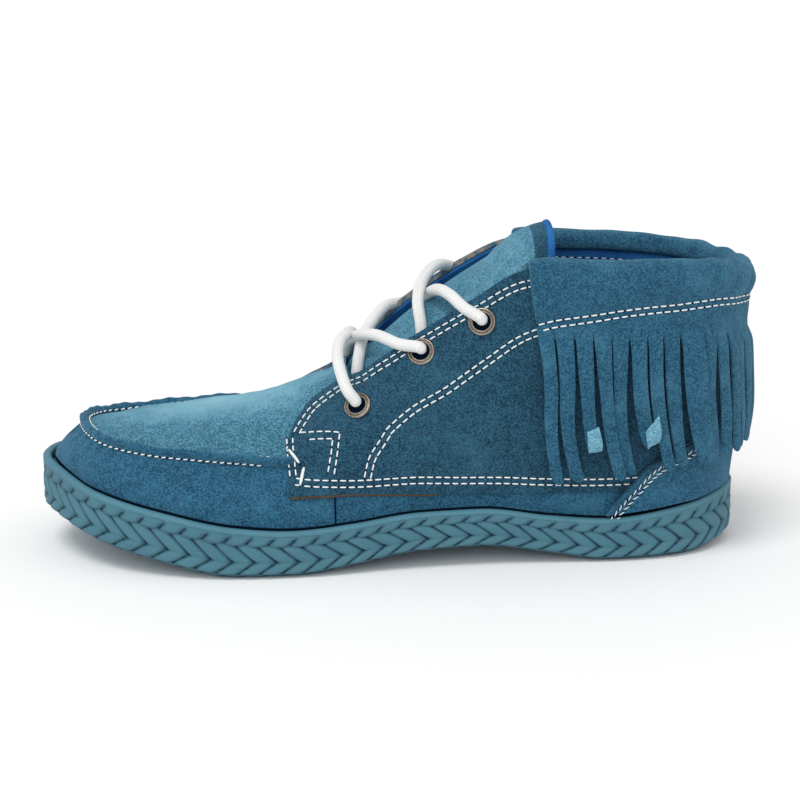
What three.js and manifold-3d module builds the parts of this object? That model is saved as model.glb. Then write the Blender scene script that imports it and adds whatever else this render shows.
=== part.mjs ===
// Fringe ankle boot: a left moccasin-toe boot in suede on a moulded rubber cup sole with a braided
// side, a folded collar cuff cut into a fringe, three pairs of eyelets and a round cotton lace.
// Millimetres. +Z is up, the toe points to -X and the outer side of the foot faces -Y.
// The origin is on the floor under the middle of the heel's flat spot.
import * as THREE from "three";
import { mergeVertices } from "three/addons/utils/BufferGeometryUtils.js";
import Module from "manifold-3d";

const wasm = await Module();
wasm.setup();

// Driving sizes of the boot
const SOLE_LENGTH = 264;
const BALL_WIDTH = 96;
const COLLAR_HEIGHT = 110;
const HEEL_BACK = 34;
const WALL = 2;
const OVERLAY = 1.4;
const GAP = 0.3;
const FOOT_CLEARANCE = 0.7;

// Sole
const RIM_THICKNESS = 3.2;
const RIM_DEPTH = 7;
const BRAID_PITCH = 8;
const BRAID_RELIEF = 1.5;
const EDGE_ROUNDING = 2.6;

// Seam lip of the moccasin toe
const LIP_HEIGHT = 2.8;
const LIP_THICKNESS = 2.4;

// Insole and tongue
const INSOLE_THICKNESS = 3;
const TONGUE_THICKNESS = 2.4;
const TONGUE_OVERHANG = 22;
const TONGUE_ROOM = 2.4;

// Eyelets and lace
const EYELET_RADIUS = 5.4;
const EYELET_BARREL = 3.5;
const EYELET_HOLE = 2.7;
const EYELET_FLANGE = 1.1;
const EYELET_BACK = 0.8;
const LACE_RADIUS = 2;
const LACE_ARCH = 2.4;

// Collar cuff and fringe
const CUFF_ROLL = 5.4;
const CUFF_TOP = 2.4;
const CUFF_THICKNESS = 1.8;
const CUFF_SWELL = 0.3;
const CUFF_INSIDE = 7.5;
const STITCH_DROP = 17.5;
const FRINGE_DROP = 25;
const STRIP_PITCH = 7;
const STRIP_SLIT = 0.8;
const FRINGE_END = 33;
const FRINGE_END_BACK = 46;
const FRINGE_STAND_OFF = 4;
const STRIP_DRIFT = 1;
const STRIP_UNEVEN = 1.2;

const HALF = BALL_WIDTH / 2;
const TURN = 2 * Math.PI;

// Smooth curves through table values

// Hermite blend between two values with their slopes over a span.
function hermite(a, b, slopeA, slopeB, span, t) {
  const t2 = t * t;
  const t3 = t2 * t;
  return (
    a * (2 * t3 - 3 * t2 + 1) +
    b * (3 * t2 - 2 * t3) +
    slopeA * span * (t3 - 2 * t2 + t) +
    slopeB * span * (t3 - t2)
  );
}

// A closed curve of one value over keys that repeat after a period.
function ring(keys, values, period) {
  const n = keys.length;
  const key = (i) => keys[((i % n) + n) % n] + Math.floor(i / n) * period;
  const value = (i) => values[((i % n) + n) % n];
  const slope = (i) => (value(i + 1) - value(i - 1)) / (key(i + 1) - key(i - 1));
  return (at) => {
    const t = ((at % period) + period) % period;
    let i = n - 1;
    while (i > 0 && keys[i] > t) i -= 1;
    const span = key(i + 1) - key(i);
    return hermite(value(i), value(i + 1), slope(i), slope(i + 1), span, (t - keys[i]) / span);
  };
}

// An open curve that never overshoots its values, so that flat stretches stay flat.
function track(keys, values) {
  const chord = keys.slice(1).map((k, i) => (values[i + 1] - values[i]) / (k - keys[i]));
  const slope = keys.map((_, i) => {
    if (i === 0 || i === keys.length - 1) return 0;
    const [a, b] = [chord[i - 1], chord[i]];
    return a * b <= 0 ? 0 : (2 * a * b) / (a + b);
  });
  return (at) => {
    const t = Math.min(Math.max(at, keys[0]), keys[keys.length - 1]);
    let i = keys.length - 2;
    while (i > 0 && keys[i] > t) i -= 1;
    const span = keys[i + 1] - keys[i];
    return hermite(values[i], values[i + 1], slope[i], slope[i + 1], span, (t - keys[i]) / span);
  };
}

const column = (rows, name) => rows.map((row) => row[name]);

// Plan of the sole. share runs from the heel's back (0) to the toe's tip (1), and outer and inner are
// the half widths on each side as shares of half the ball width. At the tip both name one point.
const SOLE_PLAN = [
  { share: 0, outer: 0, inner: 0 },
  { share: 0.03, outer: 0.38, inner: 0.36 },
  { share: 0.08, outer: 0.585, inner: 0.55 },
  { share: 0.16, outer: 0.705, inner: 0.665 },
  { share: 0.26, outer: 0.735, inner: 0.66 },
  { share: 0.38, outer: 0.77, inner: 0.625 },
  { share: 0.5, outer: 0.85, inner: 0.67 },
  { share: 0.6, outer: 0.955, inner: 0.79 },
  { share: 0.7, outer: 1.0, inner: 0.905 },
  { share: 0.79, outer: 0.955, inner: 0.955 },
  { share: 0.87, outer: 0.81, inner: 0.92 },
  { share: 0.935, outer: 0.565, inner: 0.79 },
  { share: 0.98, outer: 0.235, inner: 0.55 },
  { share: 1, outer: -0.15, inner: 0.15 },
];

// Heights of the sole along its length, as shares of the collar height: where it meets the floor, and
// the top of its rim. Equal rows at 0 are the flat spots of the heel and the forefoot.
const SOLE_PROFILE = [
  { share: 0, under: 0.03, rim: 0.215 },
  { share: 0.03, under: 0.016, rim: 0.2 },
  { share: 0.08, under: 0, rim: 0.178 },
  { share: 0.2, under: 0, rim: 0.148 },
  { share: 0.28, under: 0.03, rim: 0.163 },
  { share: 0.38, under: 0.062, rim: 0.194 },
  { share: 0.46, under: 0.056, rim: 0.192 },
  { share: 0.56, under: 0.022, rim: 0.168 },
  { share: 0.64, under: 0, rim: 0.156 },
  { share: 0.72, under: 0, rim: 0.17 },
  { share: 0.82, under: 0.04, rim: 0.214 },
  { share: 0.92, under: 0.09, rim: 0.262 },
  { share: 1, under: 0.135, rim: 0.315 },
];

// Turn angle round the sole: 0 at the toe's tip, half a turn at the heel, outer side first.
const angleAt = (share) => Math.acos(2 * share - 1);
const shareAt = (angle) => (1 + Math.cos(angle)) / 2;
const along = (share) => HEEL_BACK - share * SOLE_LENGTH;
const planRows = [...SOLE_PLAN].reverse();
const planWidth = ring(
  [
    ...planRows.map((row) => angleAt(row.share)),
    ...SOLE_PLAN.slice(1, -1).map((row) => TURN - angleAt(row.share)),
  ],
  [
    ...planRows.map((row) => -row.outer * HALF),
    ...SOLE_PLAN.slice(1, -1).map((row) => row.inner * HALF),
  ],
  TURN,
);

// Point of the sole's outline, moved in by an inset, and the outward direction there.
function outline(angle, inset = 0) {
  const step = 0.01;
  const point = (a) => new THREE.Vector2(along(shareAt(a)), planWidth(a));
  const tangent = point(angle + step).sub(point(angle - step)).normalize();
  const outward = new THREE.Vector2(tangent.y, -tangent.x);
  return { at: point(angle).addScaledVector(outward, -inset), outward };
}

const profileKeys = column(SOLE_PROFILE, "share");
const underAt = track(profileKeys, column(SOLE_PROFILE, "under"));
const rimAt = track(profileKeys, column(SOLE_PROFILE, "rim"));
const soleUnder = (x) => underAt((HEEL_BACK - x) / SOLE_LENGTH) * COLLAR_HEIGHT;
const soleRim = (x) => rimAt((HEEL_BACK - x) / SOLE_LENGTH) * COLLAR_HEIGHT;
const cupFloor = (x) => soleRim(x) - RIM_DEPTH;

// Sections of the upper, from the toe's tip to the heel's back. foot is the share of the sole where a
// section starts. mid is the seam of the moccasin toe, and behind it a line halfway up the quarter.
// top is the ridge of the vamp, then the throat's edge and the collar. Widths are shares of half the
// ball width, positive away from the middle on each side, and heights shares of the collar height.
// The leans are the slopes in degrees of the wall below mid, above mid and at the top.
const UPPER = [
  {
    foot: 1, mid: 0.936, midOut: -0.08, midIn: 0.08, midOutZ: 0.43, midInZ: 0.43,
    top: 0.856, topOut: -0.03, topIn: 0.03, topOutZ: 0.464, topInZ: 0.464, lean: [38, 12, 0],
  },
  {
    foot: 0.982, mid: 0.922, midOut: 0.25, midIn: 0.36, midOutZ: 0.424, midInZ: 0.42,
    top: 0.85, topOut: -0.03, topIn: 0.03, topOutZ: 0.466, topInZ: 0.466, lean: [38, 14, 0],
  },
  {
    foot: 0.945, mid: 0.892, midOut: 0.455, midIn: 0.5, midOutZ: 0.408, midInZ: 0.414,
    top: 0.828, topOut: -0.02, topIn: 0.02, topOutZ: 0.471, topInZ: 0.471, lean: [40, 18, 0],
  },
  {
    foot: 0.88, mid: 0.838, midOut: 0.6, midIn: 0.565, midOutZ: 0.393, midInZ: 0.42,
    top: 0.793, topOut: -0.01, topIn: 0.01, topOutZ: 0.482, topInZ: 0.482, lean: [44, 24, 0],
  },
  {
    foot: 0.8, mid: 0.773, midOut: 0.68, midIn: 0.585, midOutZ: 0.384, midInZ: 0.432,
    top: 0.746, topOut: 0, topIn: 0, topOutZ: 0.497, topInZ: 0.497, lean: [50, 30, 0],
  },
  {
    foot: 0.72, mid: 0.708, midOut: 0.725, midIn: 0.585, midOutZ: 0.375, midInZ: 0.44,
    top: 0.697, topOut: 0, topIn: 0, topOutZ: 0.521, topInZ: 0.521, lean: [56, 36, 0],
  },
  {
    foot: 0.64, mid: 0.644, midOut: 0.745, midIn: 0.585, midOutZ: 0.37, midInZ: 0.442,
    top: 0.648, topOut: 0, topIn: 0, topOutZ: 0.555, topInZ: 0.555, lean: [62, 44, 0],
  },
  {
    foot: 0.565, mid: 0.578, midOut: 0.74, midIn: 0.6, midOutZ: 0.42, midInZ: 0.465,
    top: 0.585, topOut: 0, topIn: 0, topOutZ: 0.632, topInZ: 0.632, lean: [65, 60, 8],
  },
  {
    foot: 0.495, mid: 0.513, midOut: 0.735, midIn: 0.625, midOutZ: 0.475, midInZ: 0.5,
    top: 0.527, topOut: 0.406, topIn: 0.4, topOutZ: 0.677, topInZ: 0.713, lean: [71, 71, 38],
  },
  {
    foot: 0.42, mid: 0.44, midOut: 0.725, midIn: 0.645, midOutZ: 0.52, midInZ: 0.535,
    top: 0.46, topOut: 0.442, topIn: 0.45, topOutZ: 0.775, topInZ: 0.838, lean: [77, 77, 48],
  },
  {
    foot: 0.34, mid: 0.365, midOut: 0.715, midIn: 0.66, midOutZ: 0.55, midInZ: 0.56,
    top: 0.386, topOut: 0.483, topIn: 0.49, topOutZ: 0.891, topInZ: 0.95, lean: [82, 82, 58],
  },
  {
    foot: 0.27, mid: 0.298, midOut: 0.71, midIn: 0.665, midOutZ: 0.56, midInZ: 0.565,
    top: 0.316, topOut: 0.54, topIn: 0.54, topOutZ: 0.993, topInZ: 1.02, lean: [86, 86, 74],
  },
  {
    foot: 0.19, mid: 0.22, midOut: 0.69, midIn: 0.655, midOutZ: 0.56, midInZ: 0.56,
    top: 0.218, topOut: 0.655, topIn: 0.655, topOutZ: 1, topInZ: 1.012, lean: [89, 89, 86],
  },
  {
    foot: 0.12, mid: 0.142, midOut: 0.66, midIn: 0.635, midOutZ: 0.55, midInZ: 0.55,
    top: 0.132, topOut: 0.645, topIn: 0.645, topOutZ: 1, topInZ: 1, lean: [90, 90, 90],
  },
  {
    foot: 0.055, mid: 0.07, midOut: 0.565, midIn: 0.54, midOutZ: 0.545, midInZ: 0.545,
    top: 0.062, topOut: 0.54, topIn: 0.54, topOutZ: 0.992, topInZ: 0.985, lean: [90, 90, 90],
  },
  {
    foot: 0.015, mid: 0.021, midOut: 0.33, midIn: 0.32, midOutZ: 0.54, midInZ: 0.54,
    top: 0.018, topOut: 0.32, topIn: 0.32, topOutZ: 0.975, topInZ: 0.97, lean: [91, 91, 90],
  },
  {
    foot: 0, mid: 0.004, midOut: 0, midIn: 0, midOutZ: 0.54, midInZ: 0.54,
    top: 0.002, topOut: 0, topIn: 0, topOutZ: 0.965, topInZ: 0.965, lean: [92, 92, 90],
  },
];
const LAST_ROW = UPPER.length - 1;
const ROUND = 2 * LAST_ROW;
const THROAT_ROW = 7;
const COLLAR_ROW = 11;
const MEET = 2;
const FOOT_LEAN = 90;
const FULLNESS = 0.42;

// One value of the sections as a closed curve over the section number, outer side first.
function aroundUpper(outer, inner) {
  const rows = [...UPPER.keys()];
  const keys = [...rows, ...rows.slice(1, -1).map((i) => LAST_ROW + i)];
  const values = [...UPPER.map(outer), ...UPPER.slice(1, -1).reverse().map(inner)];
  return ring(keys, values, ROUND);
}
const footTurn = aroundUpper(
  (row) => angleAt(row.foot) - (TURN * UPPER.indexOf(row)) / ROUND,
  (row) => (TURN * UPPER.indexOf(row)) / ROUND - angleAt(row.foot),
);
const upperCurve = {
  midX: aroundUpper((r) => along(r.mid), (r) => along(r.mid)),
  midY: aroundUpper((r) => -r.midOut * HALF, (r) => r.midIn * HALF),
  midZ: aroundUpper((r) => r.midOutZ * COLLAR_HEIGHT, (r) => r.midInZ * COLLAR_HEIGHT),
  topX: aroundUpper((r) => along(r.top), (r) => along(r.top)),
  topY: aroundUpper((r) => -r.topOut * HALF, (r) => r.topIn * HALF),
  topZ: aroundUpper((r) => r.topOutZ * COLLAR_HEIGHT, (r) => r.topInZ * COLLAR_HEIGHT),
  wallLean: aroundUpper((r) => r.lean[0], (r) => r.lean[0]),
  aboveLean: aroundUpper((r) => r.lean[1], (r) => r.lean[1]),
  topLean: aroundUpper((r) => r.lean[2], (r) => r.lean[2]),
};

// Point of the last's surface at section j and height v: 0 at the feather edge, 1 at mid, 2 at top.
function skin(j, v) {
  const angle = footTurn(j) + (TURN * j) / ROUND;
  const { at, outward } = outline(angle, RIM_THICKNESS + FOOT_CLEARANCE);
  const lean = (degrees, reach) => {
    const a = THREE.MathUtils.degToRad(degrees);
    return new THREE.Vector3(
      -outward.x * Math.cos(a) * reach,
      -outward.y * Math.cos(a) * reach,
      Math.sin(a) * reach,
    );
  };
  const c = upperCurve;
  const foot = new THREE.Vector3(at.x, at.y, cupFloor(at.x) + GAP);
  const mid = new THREE.Vector3(c.midX(j), c.midY(j), c.midZ(j));
  const top = new THREE.Vector3(c.topX(j), c.topY(j), c.topZ(j));
  const low = foot.distanceTo(mid) * FULLNESS;
  const high = mid.distanceTo(top) / 3;
  const curve =
    v <= 1
      ? new THREE.CubicBezierCurve3(
          foot,
          foot.clone().add(lean(FOOT_LEAN, low)),
          mid.clone().sub(lean(c.wallLean(j), low)),
          mid,
        )
      : new THREE.CubicBezierCurve3(
          mid,
          mid.clone().add(lean(c.aboveLean(j), high)),
          top.clone().sub(lean(c.topLean(j), high)),
          top,
        );
  return curve.getPoint(v <= 1 ? v : v - 1);
}

// Outward direction of that surface.
function facing(j, v) {
  const step = 0.04;
  const [v0, v1] = [Math.max(v - step, 0), Math.min(v + step, MEET)];
  const across = skin(j + step, v).sub(skin(j - step, v));
  const up = skin(j, v1).sub(skin(j, v0));
  return across.cross(up).normalize();
}

// Sections where the two sides of the vamp meet on its ridge.
const onRidge = (j) => j <= THROAT_ROW || j >= ROUND - THROAT_ROW;

// Point at a distance outside (or, when negative, inside) the last's surface.
function upperPoint(j, v, offset) {
  const normal = facing(j, v);
  if (v === MEET && onRidge(j)) normal.add(facing(ROUND - j, v)).normalize();
  const at = skin(j, v);
  if (v === MEET && onRidge(j)) at.add(skin(ROUND - j, v)).multiplyScalar(0.5);
  return at.addScaledVector(normal, offset);
}

// Height v at which section j reaches a height above the floor.
function vAtHeight(j, height) {
  let [low, high] = [0, MEET];
  for (let i = 0; i < 24; i += 1) {
    const v = (low + high) / 2;
    if (skin(j, v).z < height) low = v;
    else high = v;
  }
  return (low + high) / 2;
}

// Section number that lies a distance further round the upper at one height above the floor.
function sectionBeyond(j, height, distance) {
  const step = 0.05;
  const here = (s) => skin(s, vAtHeight(s, height));
  const pace = here(j + step).distanceTo(here(j - step)) / (2 * step);
  return j + distance / pace;
}

// Meshes and solids

// Solid between layers of points: every layer has the same number, and the first and last layer may
// be joined into a loop or capped.
function loft(layers, { closed = false } = {}) {
  const n = layers[0].length;
  const positions = layers.flat().flatMap((p) => [p.x, p.y, p.z]);
  const faces = [];
  const quad = (a, b, c, d) => faces.push(a, b, c, a, c, d);
  const last = closed ? layers.length : layers.length - 1;
  for (let k = 0; k < last; k += 1) {
    const here = k * n;
    const next = ((k + 1) % layers.length) * n;
    for (let i = 0; i < n; i += 1) {
      const j = (i + 1) % n;
      quad(here + i, here + j, next + j, next + i);
    }
  }
  if (!closed) {
    const end = (layers.length - 1) * n;
    fan(layers[0], 0, faces, false);
    fan(layers[layers.length - 1], end, faces, true);
  }
  return solid(positions, faces);
}

// Cap of a flat or nearly flat ring of points, cut into triangles by its own outline.
function fan(points, start, faces, front) {
  const centre = points.reduce((sum, p) => sum.add(p), new THREE.Vector3()).divideScalar(points.length);
  const normal = new THREE.Vector3();
  points.forEach((p, i) => {
    const q = points[(i + 1) % points.length];
    normal.add(p.clone().sub(centre).cross(q.clone().sub(centre)));
  });
  normal.normalize();
  const side = points[1].clone().sub(points[0]).normalize();
  const up = normal.clone().cross(side);
  const flat = points.map((p) => new THREE.Vector2(p.dot(side), p.dot(up)));
  for (const [a, b, c] of THREE.ShapeUtils.triangulateShape(flat, [])) {
    if (front) faces.push(start + a, start + b, start + c);
    else faces.push(start + a, start + c, start + b);
  }
}

// Solid between two grids of points with the same rows and columns, walled round its border.
function sheet(front, back) {
  const [rows, columns] = [front.length, front[0].length];
  const positions = [...front.flat(), ...back.flat()].flatMap((p) => [p.x, p.y, p.z]);
  const behind = rows * columns;
  const faces = [];
  const quad = (a, b, c, d) => faces.push(a, b, c, a, c, d);
  const index = (row, col) => row * columns + col;
  for (let row = 0; row < rows - 1; row += 1) {
    for (let col = 0; col < columns - 1; col += 1) {
      const corners = [
        index(row, col),
        index(row, col + 1),
        index(row + 1, col + 1),
        index(row + 1, col),
      ];
      quad(...corners);
      quad(...corners.map((corner) => corner + behind).reverse());
    }
  }
  const border = [
    ...Array.from({ length: columns - 1 }, (_, c) => index(0, c)),
    ...Array.from({ length: rows - 1 }, (_, r) => index(r, columns - 1)),
    ...Array.from({ length: columns - 1 }, (_, c) => index(rows - 1, columns - 1 - c)),
    ...Array.from({ length: rows - 1 }, (_, r) => index(rows - 1 - r, 0)),
  ];
  border.forEach((corner, i) => {
    const next = border[(i + 1) % border.length];
    quad(next, corner, corner + behind, next + behind);
  });
  return solid(positions, faces);
}

// Closed solid from positions and triangle corners, turned to face out.
function solid(positions, faces) {
  const geometry = new THREE.BufferGeometry();
  geometry.setAttribute("position", new THREE.Float32BufferAttribute(positions, 3));
  geometry.setIndex(faces);
  const merged = mergeVertices(geometry, 1e-4);
  const corners = Array.from(merged.index.array);
  const kept = [];
  for (let i = 0; i < corners.length; i += 3) {
    const [a, b, c] = corners.slice(i, i + 3);
    if (a !== b && b !== c && a !== c) kept.push(a, b, c);
  }
  const build = (tri) =>
    new wasm.Manifold(
      new wasm.Mesh({
        numProp: 3,
        vertProperties: new Float32Array(merged.attributes.position.array),
        triVerts: new Uint32Array(tri),
      }),
    );
  const made = build(kept);
  if (made.volume() > 0) return made;
  for (let i = 0; i < kept.length; i += 3) [kept[i], kept[i + 1]] = [kept[i + 1], kept[i]];
  return build(kept);
}

// Named mesh of a finished solid.
function piece(name, made, look) {
  const { numProp, vertProperties, triVerts, numVert } = made.getMesh();
  const positions = new Float32Array(numVert * 3);
  for (let i = 0; i < numVert; i += 1) {
    positions.set(vertProperties.subarray(i * numProp, i * numProp + 3), i * 3);
  }
  const geometry = new THREE.BufferGeometry();
  geometry.setAttribute("position", new THREE.BufferAttribute(positions, 3));
  geometry.setIndex(new THREE.BufferAttribute(triVerts, 1));
  geometry.computeVertexNormals();
  const mesh = new THREE.Mesh(geometry, look);
  mesh.name = name;
  return mesh;
}

const look = (color, roughness, metalness = 0) =>
  new THREE.MeshStandardMaterial({ color, roughness, metalness });
const suede = look(0x2a6f93, 0.95);
const rubber = look(0x4f8ba0, 0.7);
const lining = look(0x1f5fa8, 0.9);
const steel = look(0x9a938a, 0.3, 1);
const cotton = look(0xf1f1ef, 0.9);

// Sole: a cup with a braided side

// Rows of the side from the rim down: share is the part of the side's height, shift the slant of the
// strands in pitches, and relief how far their crests stand out. Rows with little relief are the
// lines where one row of strands tucks under the next.
const BRAID_ROWS = [
  { share: 0.1, shift: 0.55, relief: 0.1 },
  { share: 0.2, shift: 0.1, relief: 0.8 },
  { share: 0.3, shift: -0.3, relief: 0.35 },
  { share: 0.47, shift: 0.3, relief: 1 },
  { share: 0.66, shift: 1, relief: 0.35 },
  { share: 0.82, shift: 0.3, relief: 0.9 },
];

// Turn angles that split the sole's outline into equal lengths, starting at a share of a step.
function evenTurns(count, phase) {
  const samples = 1440;
  const lengths = [0];
  for (let i = 1; i <= samples; i += 1) {
    const a = outline((TURN * (i - 1)) / samples).at;
    const b = outline((TURN * i) / samples).at;
    lengths.push(lengths[i - 1] + a.distanceTo(b));
  }
  const total = lengths[samples];
  return Array.from({ length: count }, (_, k) => {
    const wanted = ((((k + phase) / count) % 1) + 1) % 1 * total;
    let i = 1;
    while (lengths[i] < wanted) i += 1;
    const within = (wanted - lengths[i - 1]) / (lengths[i] - lengths[i - 1]);
    return (TURN * (i - 1 + within)) / samples;
  });
}

function outlineLength() {
  const points = Array.from({ length: 720 }, (_, i) => outline((TURN * i) / 720).at);
  return points.reduce((sum, p, i) => sum + p.distanceTo(points[(i + 1) % points.length]), 0);
}

function makeSole() {
  const strands = Math.round(outlineLength() / BRAID_PITCH);
  const count = 2 * strands;
  const ringAt = (inset, height, turns) =>
    turns.map((angle) => {
      const { at } = outline(angle, inset);
      return new THREE.Vector3(at.x, at.y, height(at.x));
    });
  const plain = evenTurns(count, 0);
  const braidRow = ({ share, shift, relief }) =>
    evenTurns(count, 2 * shift).map((angle, i) => {
      const crest = i % 2 === 1 ? BRAID_RELIEF * relief : 0;
      const { at } = outline(angle, BRAID_RELIEF - crest);
      const height = soleRim(at.x) + (soleUnder(at.x) - soleRim(at.x)) * share;
      return new THREE.Vector3(at.x, at.y, height);
    });
  const layers = [
    ringAt(RIM_THICKNESS, cupFloor, plain),
    ringAt(RIM_THICKNESS, soleRim, plain),
    ringAt(BRAID_RELIEF * 0.6, soleRim, plain),
    ...BRAID_ROWS.map(braidRow),
    ringAt(EDGE_ROUNDING, soleUnder, plain),
  ];
  return ladderSolid(layers);
}

// Solid with closed rings whose first and last ring are filled straight across from side to side, so
// that the fill follows the height of the ring. The rings start at the toe's tip.
function ladderSolid(layers) {
  const n = layers[0].length;
  const positions = layers.flat().flatMap((p) => [p.x, p.y, p.z]);
  const faces = [];
  layers.slice(1).forEach((_, k) => {
    for (let i = 0; i < n; i += 1) {
      const j = (i + 1) % n;
      const [a, b] = [k * n, (k + 1) * n];
      faces.push(a + i, a + j, b + j, a + i, b + j, b + i);
    }
  });
  const fill = (start, flip) => {
    const put = (a, b, c) => faces.push(start + a, start + (flip ? c : b), start + (flip ? b : c));
    for (let i = 0; i < n / 2; i += 1) {
      const far = (n - i) % n;
      const next = n - i - 1;
      if (i !== far) put(i, next, far);
      if (i + 1 !== next) put(i, i + 1, next);
    }
  };
  fill(0, true);
  fill((layers.length - 1) * n, false);
  return solid(positions, faces);
}

// Insole: a sheet on the cup's floor, inside the upper
function makeInsole() {
  const turns = evenTurns(48, 0);
  const inset = RIM_THICKNESS + FOOT_CLEARANCE + WALL + 3 * GAP;
  const ringAt = (extra, lift) =>
    turns.map((angle) => {
      const { at } = outline(angle, inset + extra);
      return new THREE.Vector3(at.x, at.y, cupFloor(at.x) + lift);
    });
  return ladderSolid([
    ringAt(0, 2 * GAP),
    ringAt(0, 2 * GAP + INSOLE_THICKNESS * 0.7),
    ringAt(1, 2 * GAP + INSOLE_THICKNESS),
  ]);
}

// Upper

const WALL_LEVELS = [0, 0.2, 0.45, 0.72, 1, 1.33, 1.67, MEET];

// The wall all round the foot between two distances from the last, open under the foot, at the
// throat and at the collar.
function upperWall(outer, inner) {
  const perRow = 2;
  const count = ROUND * perRow;
  const outerLevels = WALL_LEVELS;
  const innerLevels = [MEET, 1.6, 1.15, 0.6, 0];
  const ringAt = (v, offset) =>
    Array.from({ length: count }, (_, i) => upperPoint(i / perRow, v, offset));
  const layers = [
    ...outerLevels.map((v) => ringAt(v, outer)),
    ...innerLevels.map((v) => ringAt(v, inner)),
  ];
  const positions = layers.flat().flatMap((p) => [p.x, p.y, p.z]);
  const faces = [];
  layers.forEach((_, k) => {
    const next = (k + 1) % layers.length;
    for (let i = 0; i < count; i += 1) {
      const j = (i + 1) % count;
      const overRidge = k === outerLevels.length - 1 && onRidge(i / perRow) && onRidge((i + 1) / perRow);
      if (overRidge) continue;
      faces.push(k * count + i, k * count + j, next * count + j);
      faces.push(k * count + i, next * count + j, next * count + i);
    }
  });
  return solid(positions, faces);
}

// A panel laid on the wall between two distances from the last. edge maps a place on the panel, each
// way from 0 to 1, to a section and a height.
function panel(edge, across, upward, outer, inner) {
  const grid = (offset) =>
    Array.from({ length: upward + 1 }, (_, b) =>
      Array.from({ length: across + 1 }, (_, a) => {
        const { j, v } = edge(a / across, b / upward);
        return upperPoint(j, v, offset);
      }),
    );
  return sheet(grid(outer), grid(inner));
}

const mix = THREE.MathUtils.lerp;
const outerSide = (j) => j;
const innerSide = (j) => ROUND - j;

// Front edge of the quarter from its low corner up to the throat, and the height of its lower flap.
const QUARTER_FRONT = track([0, 0.5, 0.667, 0.833, 1], [5.93, 5.97, 6.13, 7.1, 8.35]);
const QUARTER_FLAP = track([5.9, 7, 9, 12, 14], [0.262, 0.268, 0.252, 0.24, 0.235]);
const QUARTER_TOP = 1.99;

// The quarter's columns and rows fall on those of the wall, apart from its own edges.
function quarter(side) {
  const straight = 9;
  const columns = [0, 1 / 6, 1 / 3, 1 / 2, 2 / 3, 5 / 6, ...Array.from({ length: 10 }, (_, i) => 1 + i)];
  const rows = [0, ...WALL_LEVELS.slice(2, -1), QUARTER_TOP];
  return panel(
    (a, b) => {
      const col = columns[Math.round(a * (columns.length - 1))];
      const row = Math.round(b * (rows.length - 1));
      const front = QUARTER_FRONT(b);
      const j = col < 1 ? mix(front, straight, col) : straight + (col - 1) / 2;
      const low = vAtHeight(side(j), QUARTER_FLAP(j) * COLLAR_HEIGHT);
      return { j: side(j), v: row === 0 ? low : Math.max(rows[row], low + 0.03 * row) };
    },
    columns.length - 1,
    rows.length - 1,
    OVERLAY,
    -WALL / 2,
  );
}

// Front edge of the heel counter, which narrows to a strip up the back.
const COUNTER_FRONT = track([0, 0.3, 0.55, 0.8, 1], [12.25, 13.15, 14.3, 15, 15.1]);
const COUNTER_TOP = 0.7;

function counter() {
  return panel(
    (a, b) => {
      const front = COUNTER_FRONT(b);
      const j = mix(front, ROUND - front, a);
      const low = vAtHeight(j, soleRim(skin(j, 0).x) + 4 * GAP);
      return { j, v: mix(low, vAtHeight(j, COUNTER_TOP * COLLAR_HEIGHT), b) };
    },
    12,
    5,
    2 * OVERLAY,
    -WALL / 2,
  );
}

// The raised lip where the toe's wall and the apron are sewn together.
function seamLip() {
  const end = 6.2;
  const steps = 32;
  const layers = Array.from({ length: steps + 1 }, (_, k) => {
    const j = mix(-end, end, k / steps);
    const section = (j + ROUND) % ROUND;
    const at = skin(section, 1);
    const up = facing(section, 0.9).add(facing(section, 1.12)).normalize();
    const run = skin((section + 0.1) % ROUND, 1).sub(skin((section - 0.1 + ROUND) % ROUND, 1));
    const side = run.normalize().cross(up).normalize();
    const corner = (s, h) =>
      at.clone().addScaledVector(side, (s * LIP_THICKNESS) / 2).addScaledVector(up, h);
    const root = -WALL / 2;
    return [
      corner(-1, root),
      corner(1, root),
      corner(0.8, LIP_HEIGHT),
      corner(-0.8, LIP_HEIGHT),
    ];
  });
  return loft(layers);
}

// Eyelet places as a section and a height on the quarter
const EYELETS = [
  { name: "1", j: 7.5, v: 1.34 },
  { name: "2", j: 8.94, v: 1.75 },
  { name: "3", j: 10.07, v: 1.75 },
];

// Solid of revolution about the outward direction at an eyelet's place.
function atEyelet(place, side, profile, segments) {
  const j = side(place.j);
  const points = profile.map(([radius, height]) => new THREE.Vector2(radius, height));
  const geometry = new THREE.LatheGeometry(points, segments);
  const turn = new THREE.Quaternion().setFromUnitVectors(
    new THREE.Vector3(0, 1, 0),
    facing(j, place.v),
  );
  geometry.applyMatrix4(
    new THREE.Matrix4().compose(skin(j, place.v), turn, new THREE.Vector3(1, 1, 1)),
  );
  geometry.deleteAttribute("uv");
  geometry.deleteAttribute("normal");
  return solid(Array.from(geometry.attributes.position.array), Array.from(geometry.index.array));
}

// Hollow rivet: a domed flange outside, a barrel through the wall and a small rolled edge inside.
function makeEyelet(place, side) {
  const outside = OVERLAY + GAP;
  const inside = -WALL - GAP;
  return atEyelet(
    place,
    side,
    [
      [EYELET_HOLE, inside - EYELET_BACK],
      [EYELET_BARREL + 1, inside - EYELET_BACK],
      [EYELET_BARREL + 1, inside],
      [EYELET_BARREL, inside],
      [EYELET_BARREL, outside],
      [EYELET_RADIUS, outside],
      [EYELET_RADIUS - 0.9, outside + EYELET_FLANGE],
      [EYELET_HOLE, outside + EYELET_FLANGE * 0.5],
      [EYELET_HOLE, inside - EYELET_BACK],
    ],
    10,
  );
}

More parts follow.
